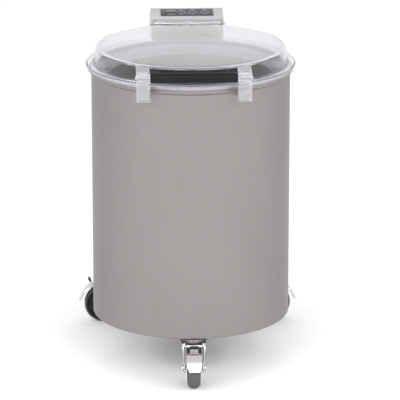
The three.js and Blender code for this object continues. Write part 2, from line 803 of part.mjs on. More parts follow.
const castorPlaces = [
  { name: 'front', x: 0, y: -frontCastorReach, heading: -Math.PI / 2 },
  { name: 'rear_left', x: -rearCastorSpread, y: rearCastorReach, heading: Math.PI },
  { name: 'rear_right', x: rearCastorSpread, y: rearCastorReach, heading: 0 },
];

function addCastor({ name, x, y, heading }) {
  const castor = new THREE.Group();
  castor.position.set(x, y, 0);
  castor.rotation.z = heading;
  addPiece(castor, `castor_plate_${name}`, castorPlate(), brightSteel);
  addPiece(castor, `castor_fork_${name}`, castorFork(), chromedSteel);
  addPiece(castor, `castor_axle_${name}`, castorAxle(), chromedSteel);
  addPiece(castor, `castor_rim_${name}`, castorRim(), darkPlastic);
  addPiece(castor, `castor_tyre_${name}`, castorTyre(), greyTyre);
  addPiece(castor, `brake_pedal_${name}`, castorPedal(), chromedSteel);
  model.add(castor);
}

// ---------------------------------------------------------------- assembly
addPiece(model, 'base_plate', basePlate(), satinSteel);
addPiece(model, 'outer_casing', outerCasing(), satinSteel);
addPiece(model, 'inner_tub', innerTub(), brightSteel);
addPiece(model, 'rim_seal', rimSeal(), paleSilicone);
addPiece(model, 'drain_spout', drainSpout(), brightSteel);
const mountNames = ['front', 'right', 'left'];
mountNames.forEach((name, index) => {
  const post = addPiece(model, `tub_mount_${name}`, tubMount(), blackRubber);
  const angle = -Math.PI / 2 + index * 2 * Math.PI / mountNames.length;
  const reach = tubRadius - tubMountDiameter - 2;
  post.position.set(reach * Math.cos(angle), reach * Math.sin(angle), 0);
});

addPiece(model, 'bearing_housing', bearingHousing(), castIron);
addPiece(model, 'lower_bearing', ballBearing(housingBottom), brightSteel);
addPiece(model, 'upper_bearing', ballBearing(housingTop - bearingWidth), brightSteel);
addPiece(model, 'shaft_seal', shaftSeal(), blackRubber);
addPiece(model, 'drive_shaft', driveShaft(), brightSteel);
addPiece(model, 'driven_pulley', pulley(drivenPulleyDiameter, shaftDiameter), castIron);
addPiece(model, 'drive_hub', driveHub(), darkPlastic);
addPiece(model, 'drive_belt', driveBelt(), blackRubber);
addPiece(model, 'motor_mount', motorMount(), satinSteel);
addPiece(model, 'motor_body', motorBody(), castIron);
addPiece(model, 'motor_shaft', motorShaft(), brightSteel);
addPiece(model, 'motor_pulley', pulley(motorPulleyDiameter, motorShaftDiameter), castIron)
  .position.set(0, motorReach, 0);
addPiece(model, 'basket', basket(), brightSteel);

addPiece(model, 'lid_dome', lidDome(), clearPlastic);
addPiece(model, 'lid_hinge_leaf', hingeLeaf(), clearPlastic);
addPiece(model, 'lid_magnet', lidMagnet(), darkPlastic);
addPiece(model, 'hinge_pin', hingePin(), brightSteel);
addPiece(model, 'grip_bar', gripBar(), darkPlastic);
addPiece(model, 'latch_rod', latchRod(), brightSteel);
for (const [name, side] of [['left', -1], ['right', 1]]) {
  addPiece(model, `latch_bracket_${name}`, latchBracket(side), clearPlastic);
  addPiece(model, `latch_${name}`, latch(side), clearPlastic);
}

addPiece(model, 'control_head', controlHead(), greyPlastic);
addPiece(model, 'lid_switch', lidSwitch(), darkPlastic);
addPiece(model, 'rear_column', rearColumn(), greyPlastic);
addPiece(model, 'column_back_cover', columnBackCover(), satinSteel);
addPiece(model, 'cable_inlet', cableInlet(), darkPlastic);
addPiece(panelPlace, 'keypad_panel', keypadPanel(), keypadFilm);
addPiece(panelPlace, 'display_window', displayWindow(), darkPlastic);
addPiece(panelPlace, 'circuit_board', circuitBoard(), boardGreen);
addPiece(panelPlace, 'start_button', pushButton(-1), buttonPlastic);
addPiece(panelPlace, 'stop_button', pushButton(0), buttonPlastic);
addPiece(panelPlace, 'timer_button', pushButton(1), buttonPlastic);
model.add(panelPlace);
castorPlaces.forEach(addCastor);

// The origin is the middle of the footprint, on the floor.
const box = new THREE.Box3().setFromObject(model, true);
const middle = box.getCenter(new THREE.Vector3());
model.position.set(-middle.x, -middle.y, -box.min.z);
model.updateMatrixWorld(true);

export default model;
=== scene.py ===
# %% [markdown]
# # A mobile electric spin dryer, dressed in Blender
#
# The machine is an upright steel drum on three braked castors. A clear lid is latched over it, a
# basket stands inside it, and a grey column behind it holds the motor and the key panel. The packed
# model already fixes every size and every hinge. This notebook builds the fine surfaces around it,
# one piece at a time, and gives each surface the finish of the real material.

import math

import bmesh
import bpy
import numpy as np
from mathutils import Matrix, Vector


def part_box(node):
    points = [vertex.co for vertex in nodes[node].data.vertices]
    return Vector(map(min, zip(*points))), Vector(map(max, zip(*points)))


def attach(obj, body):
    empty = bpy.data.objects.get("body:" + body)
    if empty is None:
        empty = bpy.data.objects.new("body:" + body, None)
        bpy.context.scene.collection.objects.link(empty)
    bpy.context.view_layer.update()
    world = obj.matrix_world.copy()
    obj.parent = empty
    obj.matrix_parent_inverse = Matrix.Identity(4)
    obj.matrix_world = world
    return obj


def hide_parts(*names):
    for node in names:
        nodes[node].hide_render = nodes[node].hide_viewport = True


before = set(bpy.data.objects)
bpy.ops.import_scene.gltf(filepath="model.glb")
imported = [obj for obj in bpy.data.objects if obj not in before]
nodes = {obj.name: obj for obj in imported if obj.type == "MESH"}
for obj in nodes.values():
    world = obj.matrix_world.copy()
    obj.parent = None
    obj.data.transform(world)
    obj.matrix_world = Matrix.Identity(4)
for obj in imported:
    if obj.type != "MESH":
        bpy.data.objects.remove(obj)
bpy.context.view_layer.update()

# %% [markdown]
# ## Sizes
#
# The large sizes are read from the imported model's own boxes, and small radii and thicknesses are
# written in millimetres beside the part they belong to. The drum axis is the middle of the casing's
# box. Real products are drawn in the same way, from a few reference axes: here the drum axis, the
# hinge axis, the latch axis and the castor axes.

# %% Reference axes and levels
MM = 0.001


def span(node):
    """Lowest and highest corner of a CAD node as two numpy arrays."""
    low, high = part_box(node)
    return np.array(low), np.array(high)


casing_low, casing_high = span("outer_casing")
DRUM_X, DRUM_Y = 0.0, float(casing_low[1] + casing_high[1]) / 2
LIP_RADIUS = float(casing_high[0])
RIM_TOP = float(casing_high[2])
CASING_BOTTOM = float(casing_low[2])
RIM_LIP = 5 * MM
LIP_HEIGHT = 9 * MM
CASING_RADIUS = LIP_RADIUS - RIM_LIP
print("drum axis y", round(DRUM_Y, 4), "casing radius", round(CASING_RADIUS, 4), "rim top", round(RIM_TOP, 4))

# %% [markdown]
# ## Mesh helpers
#
# A turned part, such as a drum or a wheel, is a profile carried round an axis. A pressed or moulded
# part is an outline carried along a path. Both are grids: one parameter runs along the profile and
# the other round the axis or along the path, so whole arrays of points are worked out at once and
# handed to Blender in one call.


# %% Grids of points into meshes
SHARP = 35  # degrees: edges that bend more than this stay crisp
WELD = 1e-6  # metres: points closer than this are one point


def linked(name, mesh, smooth_angle=SHARP):
    """An object at the origin for a mesh, shown in the scene."""
    obj = bpy.data.objects.new(name, mesh)
    bpy.context.scene.collection.objects.link(obj)
    if smooth_angle:
        smooth(obj, smooth_angle)
    return obj


def mesh_object(name, points, faces, smooth_angle=SHARP):
    """A mesh object from an (n, 3) array of points and an (m, 4) or (m, 3) array of corners."""
    mesh = bpy.data.meshes.new(name)
    mesh.from_pydata(np.asarray(points, float), [], np.asarray(faces, int).tolist())
    mesh.update()
    return linked(name, mesh, smooth_angle)


def from_bmesh(name, bm, smooth_angle=SHARP):
    """A new object that takes over an edited mesh."""
    mesh = bpy.data.meshes.new(name)
    bm.to_mesh(mesh)
    bm.free()
    return linked(name, mesh, smooth_angle)


def smooth(obj, angle):
    """Faces are shaded smooth, and edges sharper than the angle in degrees stay crisp."""
    mesh = obj.data
    mesh.shade_smooth()
    mesh.set_sharp_from_angle(angle=math.radians(angle))


def grid_faces(rows, columns, closed_rows=False):
    """Corners of the quads between neighbours in a rows x columns grid of points. Each row closes on
    itself, and so does the stack of rows if asked."""
    r, c = np.meshgrid(np.arange(rows if closed_rows else rows - 1), np.arange(columns), indexing="ij")
    r, c = r.ravel(), c.ravel()
    r1, c1 = (r + 1) % rows, (c + 1) % columns
    return np.stack([r * columns + c, r * columns + c1, r1 * columns + c1, r1 * columns + c], axis=1)


def rounded(points, radii_mm, steps=5, closed=True):
    """A polyline with its corners rounded: each corner becomes a short quadratic arc that starts and
    ends its radius away from the corner, but never further than 45% of the shorter side. The radii
    are given in millimetres, one for each corner or one for all."""
    points = np.asarray(points, float)
    count = len(points)
    radii = np.broadcast_to(np.asarray(radii_mm, float) * MM, (count,))
    out = []
    for i in range(count):
        if radii[i] <= 0 or (not closed and i in (0, count - 1)):
            out.append(points[i][None])
            continue
        before, here, after = points[i - 1], points[i], points[(i + 1) % count]
        reach = min(radii[i], 0.45 * np.linalg.norm(before - here), 0.45 * np.linalg.norm(after - here))
        start = here + (before - here) / np.linalg.norm(before - here) * reach
        end = here + (after - here) / np.linalg.norm(after - here) * reach
        t = np.linspace(0, 1, steps)[:, None]
        out.append((1 - t) ** 2 * start + 2 * t * (1 - t) * here + t ** 2 * end)
    return np.vstack(out)


def signed_volume(points, faces):
    """Volume inside a closed mesh of quads: each is two triangles, and each triangle stands for the
    pyramid from it down to the origin, a sixth of a . (b x c). Faces that point inwards count
    negative."""
    a, b, c, d = (points[faces[:, corner]] for corner in range(4))
    return (np.einsum("ij,ij->i", a, np.cross(b, c)) + np.einsum("ij,ij->i", a, np.cross(c, d))).sum() / 6


def lathe(name, profile, segments=96, centre=(0, 0, 0), axis="z", smooth_angle=SHARP, open_ends=False):
    """A closed [radius, height] outline turned a full circle: point (u, v) sits at the profile's
    radius u times (cos v, sin v), at the profile's height. Points on the axis are merged. With open
    ends the strip from the last profile point back to the first is left out, for welding to another."""
    profile = np.asarray(profile, float)
    angle = np.linspace(0, 2 * math.pi, segments, endpoint=False)
    radius, height = profile[:, 0][:, None], profile[:, 1][:, None]
    points = np.stack([radius * np.cos(angle), radius * np.sin(angle), height + 0 * angle], axis=2)
    points = points.reshape(-1, 3)
    faces = grid_faces(len(profile), segments, closed_rows=True)
    if signed_volume(points, faces) < 0:
        faces = faces[:, ::-1]
    if open_ends:
        faces = faces[:-segments]
    if axis == "x":
        points = points[:, [2, 0, 1]]
    elif axis == "y":
        points = points[:, [1, 2, 0]]
    obj = mesh_object(name, points + np.asarray(centre, float), faces, smooth_angle)
    if (profile[:, 0] < WELD / 10).any():
        merge_doubles(obj)
        smooth(obj, smooth_angle)
    return obj


def rectangle(x0, y0, x1, y1):
    """The four corners of an upright rectangle, in order round it."""
    return [(x0, y0), (x1, y0), (x1, y1), (x0, y1)]


def rod(name, radius, half, edge_mm, segments, steps, centre=(0, 0, 0), axis="y"):
    """A plain round bar about its centre, with its two rims rounded by a radius in millimetres."""
    profile = rounded(rectangle(0, -half, radius, half), [0, edge_mm, edge_mm, 0], steps=steps)
    return lathe(name, profile, segments, centre=centre, axis=axis)


def merge_doubles(obj):
    """Welds points that share a place and turns every face outwards again."""
    bm = bmesh.new()
    bm.from_mesh(obj.data)
    bmesh.ops.remove_doubles(bm, verts=bm.verts, dist=WELD)
    bmesh.ops.dissolve_degenerate(bm, edges=bm.edges, dist=WELD)
    bmesh.ops.recalc_face_normals(bm, faces=bm.faces)
    bm.to_mesh(obj.data)
    bm.free()


def slab(name, outline, low, high, axis="z", bevel=0.0):
    """A flat outline given thickness along an axis, with its two rims rounded by the bevel. The
    outline is drawn in the other two axes: x-z for y, and x-y for z."""
    outline = np.asarray(outline, float)
    order = {"y": (0, 2, 1), "z": (0, 1, 2)}[axis]
    bm = bmesh.new()
    rings = []
    for level in (low, high):
        flat = np.column_stack([outline, np.full(len(outline), level)])[:, order]
        rings.append([bm.verts.new(point) for point in flat])
    bm.faces.new(rings[0])
    bm.faces.new(rings[1])
    count = len(outline)
    for i in range(count):
        j = (i + 1) % count
        bm.faces.new((rings[0][i], rings[0][j], rings[1][j], rings[1][i]))
    if bevel > 0:
        rims = [e for ring in rings for e in bm.edges if all(v in ring for v in e.verts)]
        bmesh.ops.bevel(bm, geom=rims, offset=bevel, segments=3, profile=0.5, affect="EDGES")
    bmesh.ops.recalc_face_normals(bm, faces=bm.faces)
    return from_bmesh(name, bm)


def boxed(name, low, high, bevel):
    """A block with all of its edges rounded by the bevel."""
    bm = bmesh.new()
    bmesh.ops.create_cube(bm, size=1.0)
    low, high = np.asarray(low, float), np.asarray(high, float)
    bmesh.ops.scale(bm, vec=high - low, verts=bm.verts)
    bmesh.ops.translate(bm, vec=(low + high) / 2, verts=bm.verts)
    bmesh.ops.bevel(bm, geom=bm.edges[:], offset=bevel, segments=3, profile=0.5, affect="EDGES")
    return from_bmesh(name, bm, 40)


def merged(name, pieces):
    """Several meshes that are fixed to each other become one piece."""
    bm = bmesh.new()
    for piece in pieces:
        bm.from_mesh(piece.data)
        bpy.data.objects.remove(piece)
    return from_bmesh(name, bm)


def cut(obj, tool, smooth_angle=SHARP):
    """Cuts a tool shape out of a piece with an exact boolean, and removes the tool."""
    modifier = obj.modifiers.new("cut", "BOOLEAN")
    modifier.object = tool
    modifier.operation = "DIFFERENCE"
    modifier.solver = "EXACT"
    apply_modifiers(obj)
    bpy.data.objects.remove(tool)
    smooth(obj, smooth_angle)
    return obj


def apply_modifiers(obj):
    """Turns a piece's live modifiers into plain mesh."""
    graph = bpy.context.evaluated_depsgraph_get()
    finished = bpy.data.meshes.new_from_object(obj.evaluated_get(graph))
    obj.modifiers.clear()
    obj.data = finished
    obj.data.name = obj.name


def moved(obj, matrix):
    """Carries a piece's points by a matrix, so that its object stays at the origin."""
    obj.data.transform(matrix)
    if matrix.determinant() < 0:
        obj.data.flip_normals()
    obj.data.update()
    return obj


def place(obj, body, slot, *replaced):
    """The piece rides on a body and stands for the CAD nodes named, which are hidden. The slot is not used.
    """
    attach(obj, body)
    if replaced:
        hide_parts(*replaced)


def face_middles(obj):
    """The middle of every face, as an (m, 3) array."""
    middles = np.empty(len(obj.data.polygons) * 3)
    obj.data.polygons.foreach_get("center", middles)
    return middles.reshape(-1, 3)


print("mesh helpers ready")

# %% [markdown]
# ## The camera
#
# A product shot is taken from far away with a long lens, so that the drum's sides stay almost
# parallel. The camera stands a little to the left of the front and looks down at the lid. It is
# placed on a sphere round the aim point, and moved sideways with its aim so that the machine sits
# slightly left of the middle of the frame.

# %% Camera
AZIMUTH, ELEVATION = math.radians(-2.0), math.radians(16.3)
DISTANCE = 7.55
SIDE_STEP = 0.0227
AIM_HEIGHT = 0.407
LENS, SENSOR = 275.9, 36  # millimetres

back = Vector((math.sin(AZIMUTH) * math.cos(ELEVATION), -math.cos(AZIMUTH) * math.cos(ELEVATION),
               math.sin(ELEVATION)))
right = Vector((math.cos(AZIMUTH), math.sin(AZIMUTH), 0))
aim = Vector((DRUM_X, DRUM_Y, AIM_HEIGHT)) + right * SIDE_STEP
camera_data = bpy.data.cameras.new("product_camera")
camera_data.lens, camera_data.sensor_width = LENS, SENSOR
camera_data.clip_end = 60
camera = bpy.data.objects.new("product_camera", camera_data)
camera.location = aim + back * DISTANCE
camera.rotation_euler = (aim - camera.location).to_track_quat("-Z", "Y").to_euler()
bpy.context.scene.collection.objects.link(camera)
bpy.context.scene.camera = camera
bpy.context.scene.view_settings.view_transform = "Standard"
print("camera at", tuple(round(v, 3) for v in camera.location))

# %% [markdown]
# ## Material helpers
#
# Colours are picked as sRGB hex values and turned to linear light once, in one function. Every
# material is a Principled shader whose constant values are set on the shader itself. Patterns are
# built from a few texture nodes that read Object coordinates, in metres.


# %% Colour and node helpers
def linear(hex_colour):
    """An sRGB hex colour as linear RGBA: below 0.04045 divided by 12.92, above it the 2.4 power curve."""
    value = int(hex_colour.lstrip("#"), 16)
    channels = [(value >> shift & 255) / 255 for shift in (16, 8, 0)]
    return tuple(c / 12.92 if c <= 0.04045 else ((c + 0.055) / 1.055) ** 2.4 for c in channels) + (1.0,)


def add_node(tree, kind, inputs=None, **settings):
    """One node of a kind. Inputs map a socket to a value or to another node's output socket."""
    node = tree.nodes.new(kind)
    for name, value in settings.items():
        setattr(node, name, value)
    for socket, value in (inputs or {}).items():
        if isinstance(value, bpy.types.NodeSocket):
            tree.links.new(value, node.inputs[socket])
        else:
            node.inputs[socket].default_value = value
    return node


def principled(name, colour, roughness, metallic=0.0, **constants):
    """A material with its Principled shader's constants set, and its node tree and shader."""
    material = bpy.data.materials.new(name)
    material.use_nodes = True
    shader = material.node_tree.nodes["Principled BSDF"]
    shader.inputs["Base Color"].default_value = linear(colour)
    shader.inputs["Roughness"].default_value = roughness
    shader.inputs["Metallic"].default_value = metallic
    for socket, value in constants.items():
        shader.inputs[socket.replace("_", " ")].default_value = value
    return material, material.node_tree, shader


def object_pattern(tree, scale, stretch=(1, 1, 1), **inputs):
    """Noise on Object coordinates, stretched along the axes."""
    place_node = add_node(tree, "ShaderNodeTexCoord")
    mapping = add_node(tree, "ShaderNodeMapping", {"Vector": place_node.outputs["Object"], "Scale": stretch})
    return add_node(tree, "ShaderNodeTexNoise",
                    {"Vector": mapping.outputs["Vector"], "Scale": scale, **inputs})


def between(tree, factor, low, high):
    """A factor from 0 to 1 turned into a range of numbers."""
    node = add_node(tree, "ShaderNodeMapRange", {"Value": factor, "To Min": low, "To Max": high})
    return node.outputs["Result"]


def two_tone(tree, shader, factor, first, second):
    """The base colour moves between two colours as the factor goes from 0.3 to 0.7, where most of the
    noise lies."""
    ramp = add_node(tree, "ShaderNodeValToRGB", {"Fac": factor})
    for stop, position, colour in zip(ramp.color_ramp.elements, (0.3, 0.7), (first, second)):
        stop.position, stop.color = position, linear(colour)
    tree.links.new(ramp.outputs["Color"], shader.inputs["Base Color"])


def bumpy(tree, shader, height, depth, strength):
    """Surface relief of a real depth in metres from a height pattern."""
    bump = add_node(tree, "ShaderNodeBump", {"Height": height, "Distance": depth, "Strength": strength})
    tree.links.new(bump.outputs["Normal"], shader.inputs["Normal"])


def dress(obj, material, second=None, where=None):
    """The piece wears a material, and the faces marked in the array wear the second one."""
    obj.data.materials.clear()
    obj.data.materials.append(material)
    if second:
        obj.data.materials.append(second)
        obj.data.polygons.foreach_set("material_index", where.astype(np.int32))
    return obj


print("material helpers ready")

# %% [markdown]
# ## Satin stainless steel
#
# The casing is rolled stainless sheet with a fine satin finish. It is a metal, so its colour is the
# tint of its reflections, and a roughness near 0.4 spreads them into a soft even grey. The satin
# grain is drawn as noise pulled out along the height, with detail down to a few tenths of a
# millimetre, and broad faint clouds stand for handling and wiping.


# %% Stainless finishes
EDGE_TINT = "#E8E8E8"
GRAIN_SCALE = 2600.0 / 6  # per metre: grains a little over 2 mm apart, with finer detail inside


def satin_steel(name, first, second, roughness, stretch=(1, 1, 1 / 60)):
    """Brushed stainless: fine noise stretched 60 times along the grain, over broad faint clouds."""
    material, tree, shader = principled(name, first, roughness, 1.0, Specular_Tint=linear(EDGE_TINT))
    lines = object_pattern(tree, GRAIN_SCALE, stretch=stretch, Detail=3.0, Roughness=0.6)
    clouds = object_pattern(tree, 5.0, Detail=3.0)
    two_tone(tree, shader, clouds.outputs["Fac"], first, second)
    spread = between(tree, lines.outputs["Fac"], roughness - 0.05, roughness + 0.06)
    tree.links.new(spread, shader.inputs["Roughness"])
    bumpy(tree, shader, lines.outputs["Fac"], 0.02 * MM, 0.35)
    return material


CASING_STEEL = satin_steel("satin_stainless_casing", "#8C8887", "#908C8B", 0.40)
BRIGHT_STEEL = satin_steel("bright_stainless", "#CFCFD2", "#C6C6CA", 0.24)
# The tub and basket steel is much darker than the bright steel: painted shade for the inside of the drum.
SHADE_DARKENED_TUB_STEEL = satin_steel("stainless_tub_painted_shade", "#98989E", "#8E8E94", 0.28)
SHEET_STEEL = satin_steel("satin_stainless_sheet", "#A9A6A3", "#A29F9C", 0.38, stretch=(1 / 60, 1, 1))
print("steel finishes ready")

# %% [markdown]
# ## Bright chromed steel
#
# The castor forks, axles and pedals are pressed steel with a bright plated finish. Plating is close
# to a mirror, with slight waviness left from the press, and fine dust dulls it in soft patches.


# %% Plating, cast metal and zinc
def plated(name, colour, roughness):
    """Plated pressed steel: low roughness broken by soft dusty patches and a slow surface wave."""
    material, tree, shader = principled(name, colour, roughness, 1.0)
    dust = object_pattern(tree, 60.0, Detail=4.0)
    spread = between(tree, dust.outputs["Fac"], roughness, roughness + 0.16)
    tree.links.new(spread, shader.inputs["Roughness"])
    wave = object_pattern(tree, 90.0, Detail=1.0)
    bumpy(tree, shader, wave.outputs["Fac"], 0.08 * MM, 0.5)
    return material


def cast(name, first, second):
    """Cast metal: coarse grain of about a millimetre with a matte scatter."""
    material, tree, shader = principled(name, first, 0.62, 0.7)
    grain = object_pattern(tree, 900.0, Detail=4.0)
    two_tone(tree, shader, grain.outputs["Fac"], first, second)
    bumpy(tree, shader, grain.outputs["Fac"], 0.15 * MM, 0.6)
    return material


CHROME = plated("bright_plated_steel", "#C9C6C9", 0.14)
ZINC = plated("zinc_plated_steel", "#BDBBBE", 0.26)
CAST_IRON = cast("cast_iron", "#55575A", "#66686B")
print("plated and cast finishes ready")

# %% [markdown]
# ## Clear polycarbonate
#
# The lid and its latches are clear polycarbonate, moulded about 4 mm thick. Light bends into it with
# an index of 1.58, so at a low angle it mirrors the bright studio and from above it is clear. A very
# slight roughness stands for fine wiping scratches, and a trace of blue grey shows in its thickness.


# %% Clear polycarbonate
def clear_plastic(name, colour, roughness, clearness):
    """Transmissive moulding. Clearness is the share of the light that passes straight on, and the rest
    scatters as in a slightly milky wall; the roughness wanders a little with wiping marks."""
    material, tree, shader = principled(name, colour, roughness, 0.0, Transmission_Weight=clearness, IOR=1.58,
                                        Specular_IOR_Level=0.4)
    wipes = object_pattern(tree, 40.0, stretch=(1, 1, 0.3), Detail=3.0)
    spread = between(tree, wipes.outputs["Fac"], roughness, roughness + 0.03)
    tree.links.new(spread, shader.inputs["Roughness"])
    return material


CLEAR_LID = clear_plastic("clear_polycarbonate_lid", "#F6F6FA", 0.02, 0.985)
# The crown copy is milkier than the wall: a painted sheen that makes the top of the lid read brighter.
CROWN_PAINTED_SHEEN = clear_plastic("clear_polycarbonate_crown_painted_sheen", "#F6F6FA", 0.02, 0.92)
CLEAR_LATCH = clear_plastic("clear_polycarbonate_latch", "#F4F4F8", 0.07, 0.86)
print("clear plastics ready")

# %% [markdown]
# ## Moulded plastics, rubber and films
#
# The head and column are finely textured grey covers, the grip is satin black, and the tyres are
# grey non-marking rubber. Moulded plastic shows a spark-eroded texture of about three quarters of a
# millimetre. Rubber is duller, with a coarser and softer grain.


# %% Plastics and rubbers
def moulded(name, first, second, roughness, grain=1400.0, depth=0.05 * MM, shine=0.5):
    """Textured moulding: noise grains of about 0.7 mm as relief, and slow colour drift."""
    material, tree, shader = principled(name, first, roughness, Specular_IOR_Level=shine)
    texture = object_pattern(tree, grain, Detail=2.0)
    drift = object_pattern(tree, 9.0, Detail=3.0)
    two_tone(tree, shader, drift.outputs["Fac"], first, second)
    bumpy(tree, shader, texture.outputs["Fac"], depth, 0.6)
    return material


GREY_COVER = moulded("grey_textured_cover", "#A9A9AA", "#A3A4A5", 0.46)
BLACK_GRIP = moulded("satin_black_grip", "#0D0C10", "#111014", 0.45, depth=0.03 * MM, shine=0.2)
BLACK_PART = moulded("black_moulded_part", "#1D1D1F", "#252527", 0.45)
BLACK_RUBBER = moulded("black_rubber", "#161617", "#1F1F20", 0.7, grain=900.0)
TYRE_TREAD = moulded("grey_tyre_tread", "#525251", "#595958", 0.66, shine=0.3, grain=1100.0, depth=0.08 * MM)
TYRE_SIDE = moulded("black_tyre_side", "#0C0C0D", "#151516", 0.6, grain=1100.0, shine=0.3)
SEAL = moulded("pale_silicone_seal", "#D6D6D9", "#CCCCD0", 0.5, grain=700.0)
FILM = moulded("dark_grey_key_film", "#37363B", "#3D3C41", 0.4, grain=2200.0, depth=0.02 * MM, shine=0.25)
BUTTON_CAP = moulded("dark_grey_button_cap", "#4C4B50", "#525156", 0.38, depth=0.01 * MM, shine=0.3)
BOARD = moulded("green_circuit_board", "#2C573A", "#33633F", 0.4, grain=500.0)
WHITE_PRINT = moulded("white_printed_mark", "#E6E6EA", "#DEDEE2", 0.4, depth=0.01 * MM)
print("plastics and rubbers ready")

# %% [markdown]
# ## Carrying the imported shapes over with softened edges
#
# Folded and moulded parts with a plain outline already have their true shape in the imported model,
# but every corner there is razor sharp, and real sheet and mouldings never are. A copy of such a
# node is welded, its flat regions are joined back into whole faces, and a small bevel rounds the
# edges, which is what catches the light on a real edge. Most of these copies need nothing more and
# are dressed and placed in the same call.


# %% Softened copies
def softened(node, width, name):
    """A welded copy of a CAD node whose edges sharper than 35 degrees get a rounded bevel."""
    bm = bmesh.new()
    bm.from_mesh(nodes[node].data)
    bmesh.ops.remove_doubles(bm, verts=bm.verts, dist=WELD)
    bmesh.ops.dissolve_limit(bm, angle_limit=math.radians(0.5), verts=bm.verts, edges=bm.edges)
    obj = from_bmesh(name, bm, smooth_angle=None)
    bevel = obj.modifiers.new("soft_edges", "BEVEL")
    bevel.width = width
    bevel.segments = 3
    bevel.limit_method = "ANGLE"
    bevel.angle_limit = math.radians(SHARP)
    apply_modifiers(obj)
    smooth(obj, 32)
    return obj


def carried_over(node, width, name, finish, body, slot):
    """A softened copy in its finish, placed for the CAD node that it copies."""
    obj = softened(node, width, name)
    place(dress(obj, finish), body, slot, node)
    print(name, len(obj.data.polygons), "faces")


def at_drum(obj):
    """Carries a piece that was modelled round the drum's own axis to its place in the frame."""
    return moved(obj, Matrix.Translation((DRUM_X, DRUM_Y, 0)))


print("softened copies ready")

# %% [markdown]
# ## The steel casing
#
# The casing is one sheet of stainless steel rolled into a drum, with a band pressed outwards at the
# top so that the lid sits on a stiff round lip. It is turned from a profile with real bend radii, so
# the lip shows a soft highlight and not a knife edge. A slot at the back lets the belt through to
# the motor.

# %% Casing, lip and inner flange
SHEET = 1.5 * MM
FOOT_INNER = CASING_RADIUS - 23.5 * MM
FOOT_TOP = CASING_BOTTOM + 2 * MM
casing_profile = rounded(
    [(FOOT_INNER, CASING_BOTTOM), (CASING_RADIUS, CASING_BOTTOM),
     (CASING_RADIUS, RIM_TOP - LIP_HEIGHT - RIM_LIP), (LIP_RADIUS, RIM_TOP - LIP_HEIGHT),
     (LIP_RADIUS, RIM_TOP), (CASING_RADIUS - SHEET, RIM_TOP), (CASING_RADIUS - SHEET, FOOT_TOP),
     (FOOT_INNER, FOOT_TOP)],
    [0.5, 3, 2.5, 2, 2, 0.4, 2, 0.5], steps=6)
casing = lathe("casing_drum", casing_profile, segments=160)
belt_slot = boxed("slot", (-46 * MM, CASING_RADIUS - 30 * MM, 145 * MM),
                  (46 * MM, CASING_RADIUS + 10 * MM, 169 * MM), bevel=2 * MM)
casing = cut(casing, belt_slot)
place(at_drum(dress(casing, CASING_STEEL)), "root", "satin_steel", "outer_casing")
print("casing:", len(casing.data.polygons), "faces")

# %% [markdown]
# ## The tub and the drain
#
# Inside the casing hangs a smaller tub that catches the water thrown off by the basket. Its top
# flares out to meet the rim, and its floor is a disc round the bearing. The drain is a short welded
# pipe below the floor. Both are turned from profiles with the real sheet thickness.

# %% Tub and drain spout
tub_low, tub_high = span("inner_tub")
TUB_RADIUS = CASING_RADIUS - 20 * MM
TUB_WALL = 2 * MM
TUB_TOP_RADIUS = float(tub_high[0])
TUB_BORE = 30.3 * MM
floor_under = float(tub_low[2])
tub_profile = rounded(
    [(TUB_BORE, floor_under), (TUB_RADIUS, floor_under), (TUB_RADIUS, RIM_TOP - 30 * MM),
     (TUB_TOP_RADIUS, RIM_TOP - 10 * MM), (TUB_TOP_RADIUS, RIM_TOP), (TUB_TOP_RADIUS - TUB_WALL, RIM_TOP),
     (TUB_TOP_RADIUS - TUB_WALL, RIM_TOP - 9 * MM), (TUB_RADIUS - TUB_WALL, RIM_TOP - 29 * MM),
     (TUB_RADIUS - TUB_WALL, floor_under + TUB_WALL), (TUB_BORE, floor_under + TUB_WALL)],
    [0.3, 14, 8, 6, 0.3, 0.3, 6, 8, 12, 0.3], steps=6)
tub = lathe("tub_shell", tub_profile, segments=128)
drain_low, drain_high = span("drain_spout")
DRAIN_X, DRAIN_Y = (drain_low[0] + drain_high[0]) / 2, (drain_low[1] + drain_high[1]) / 2
DRAIN_BORE, DRAIN_OUTSIDE, DRAIN_COLLAR = 19 * MM, 22 * MM, 30 * MM
drain_tool = lathe("drain_hole", rectangle(0, floor_under - MM, DRAIN_BORE, floor_under + 4 * MM), 48,
                   centre=(DRAIN_X, DRAIN_Y - DRUM_Y, 0))
tub = cut(tub, drain_tool)
# The tub wears the darkened steel, painted shade for the inside of the drum.
place(at_drum(dress(tub, SHADE_DARKENED_TUB_STEEL)), "root", "bright_steel", "inner_tub")

spout_bottom, spout_top = float(drain_low[2]), float(drain_high[2])
spout_profile = rounded(
    [(DRAIN_BORE, spout_bottom), (DRAIN_OUTSIDE, spout_bottom), (DRAIN_OUTSIDE, spout_top - 4 * MM),
     (DRAIN_COLLAR, spout_top - 4 * MM), (DRAIN_COLLAR, spout_top), (DRAIN_BORE, spout_top)],
    [0.8, 1, 3, 1, 0.5, 0.5], steps=5)
spout = lathe("drain_pipe", spout_profile, 64, centre=(DRAIN_X, DRAIN_Y, 0))
place(dress(spout, BRIGHT_STEEL), "root", "bright_steel", "drain_spout")
print("tub:", len(tub.data.polygons), "faces, spout:", len(spout.data.polygons))

# %% [markdown]
# ## The perforated basket
#
# The produce goes into a steel basket that spins inside the tub, and the water leaves through round
# holes punched in its wall. Each hole is drawn as an eight-sided ring in its own square of a grid
# that is wrapped round the drum, so that all holes are worked out in one array. The rim is rolled
# outwards, and the floor rises to a boss over the drive spigot.


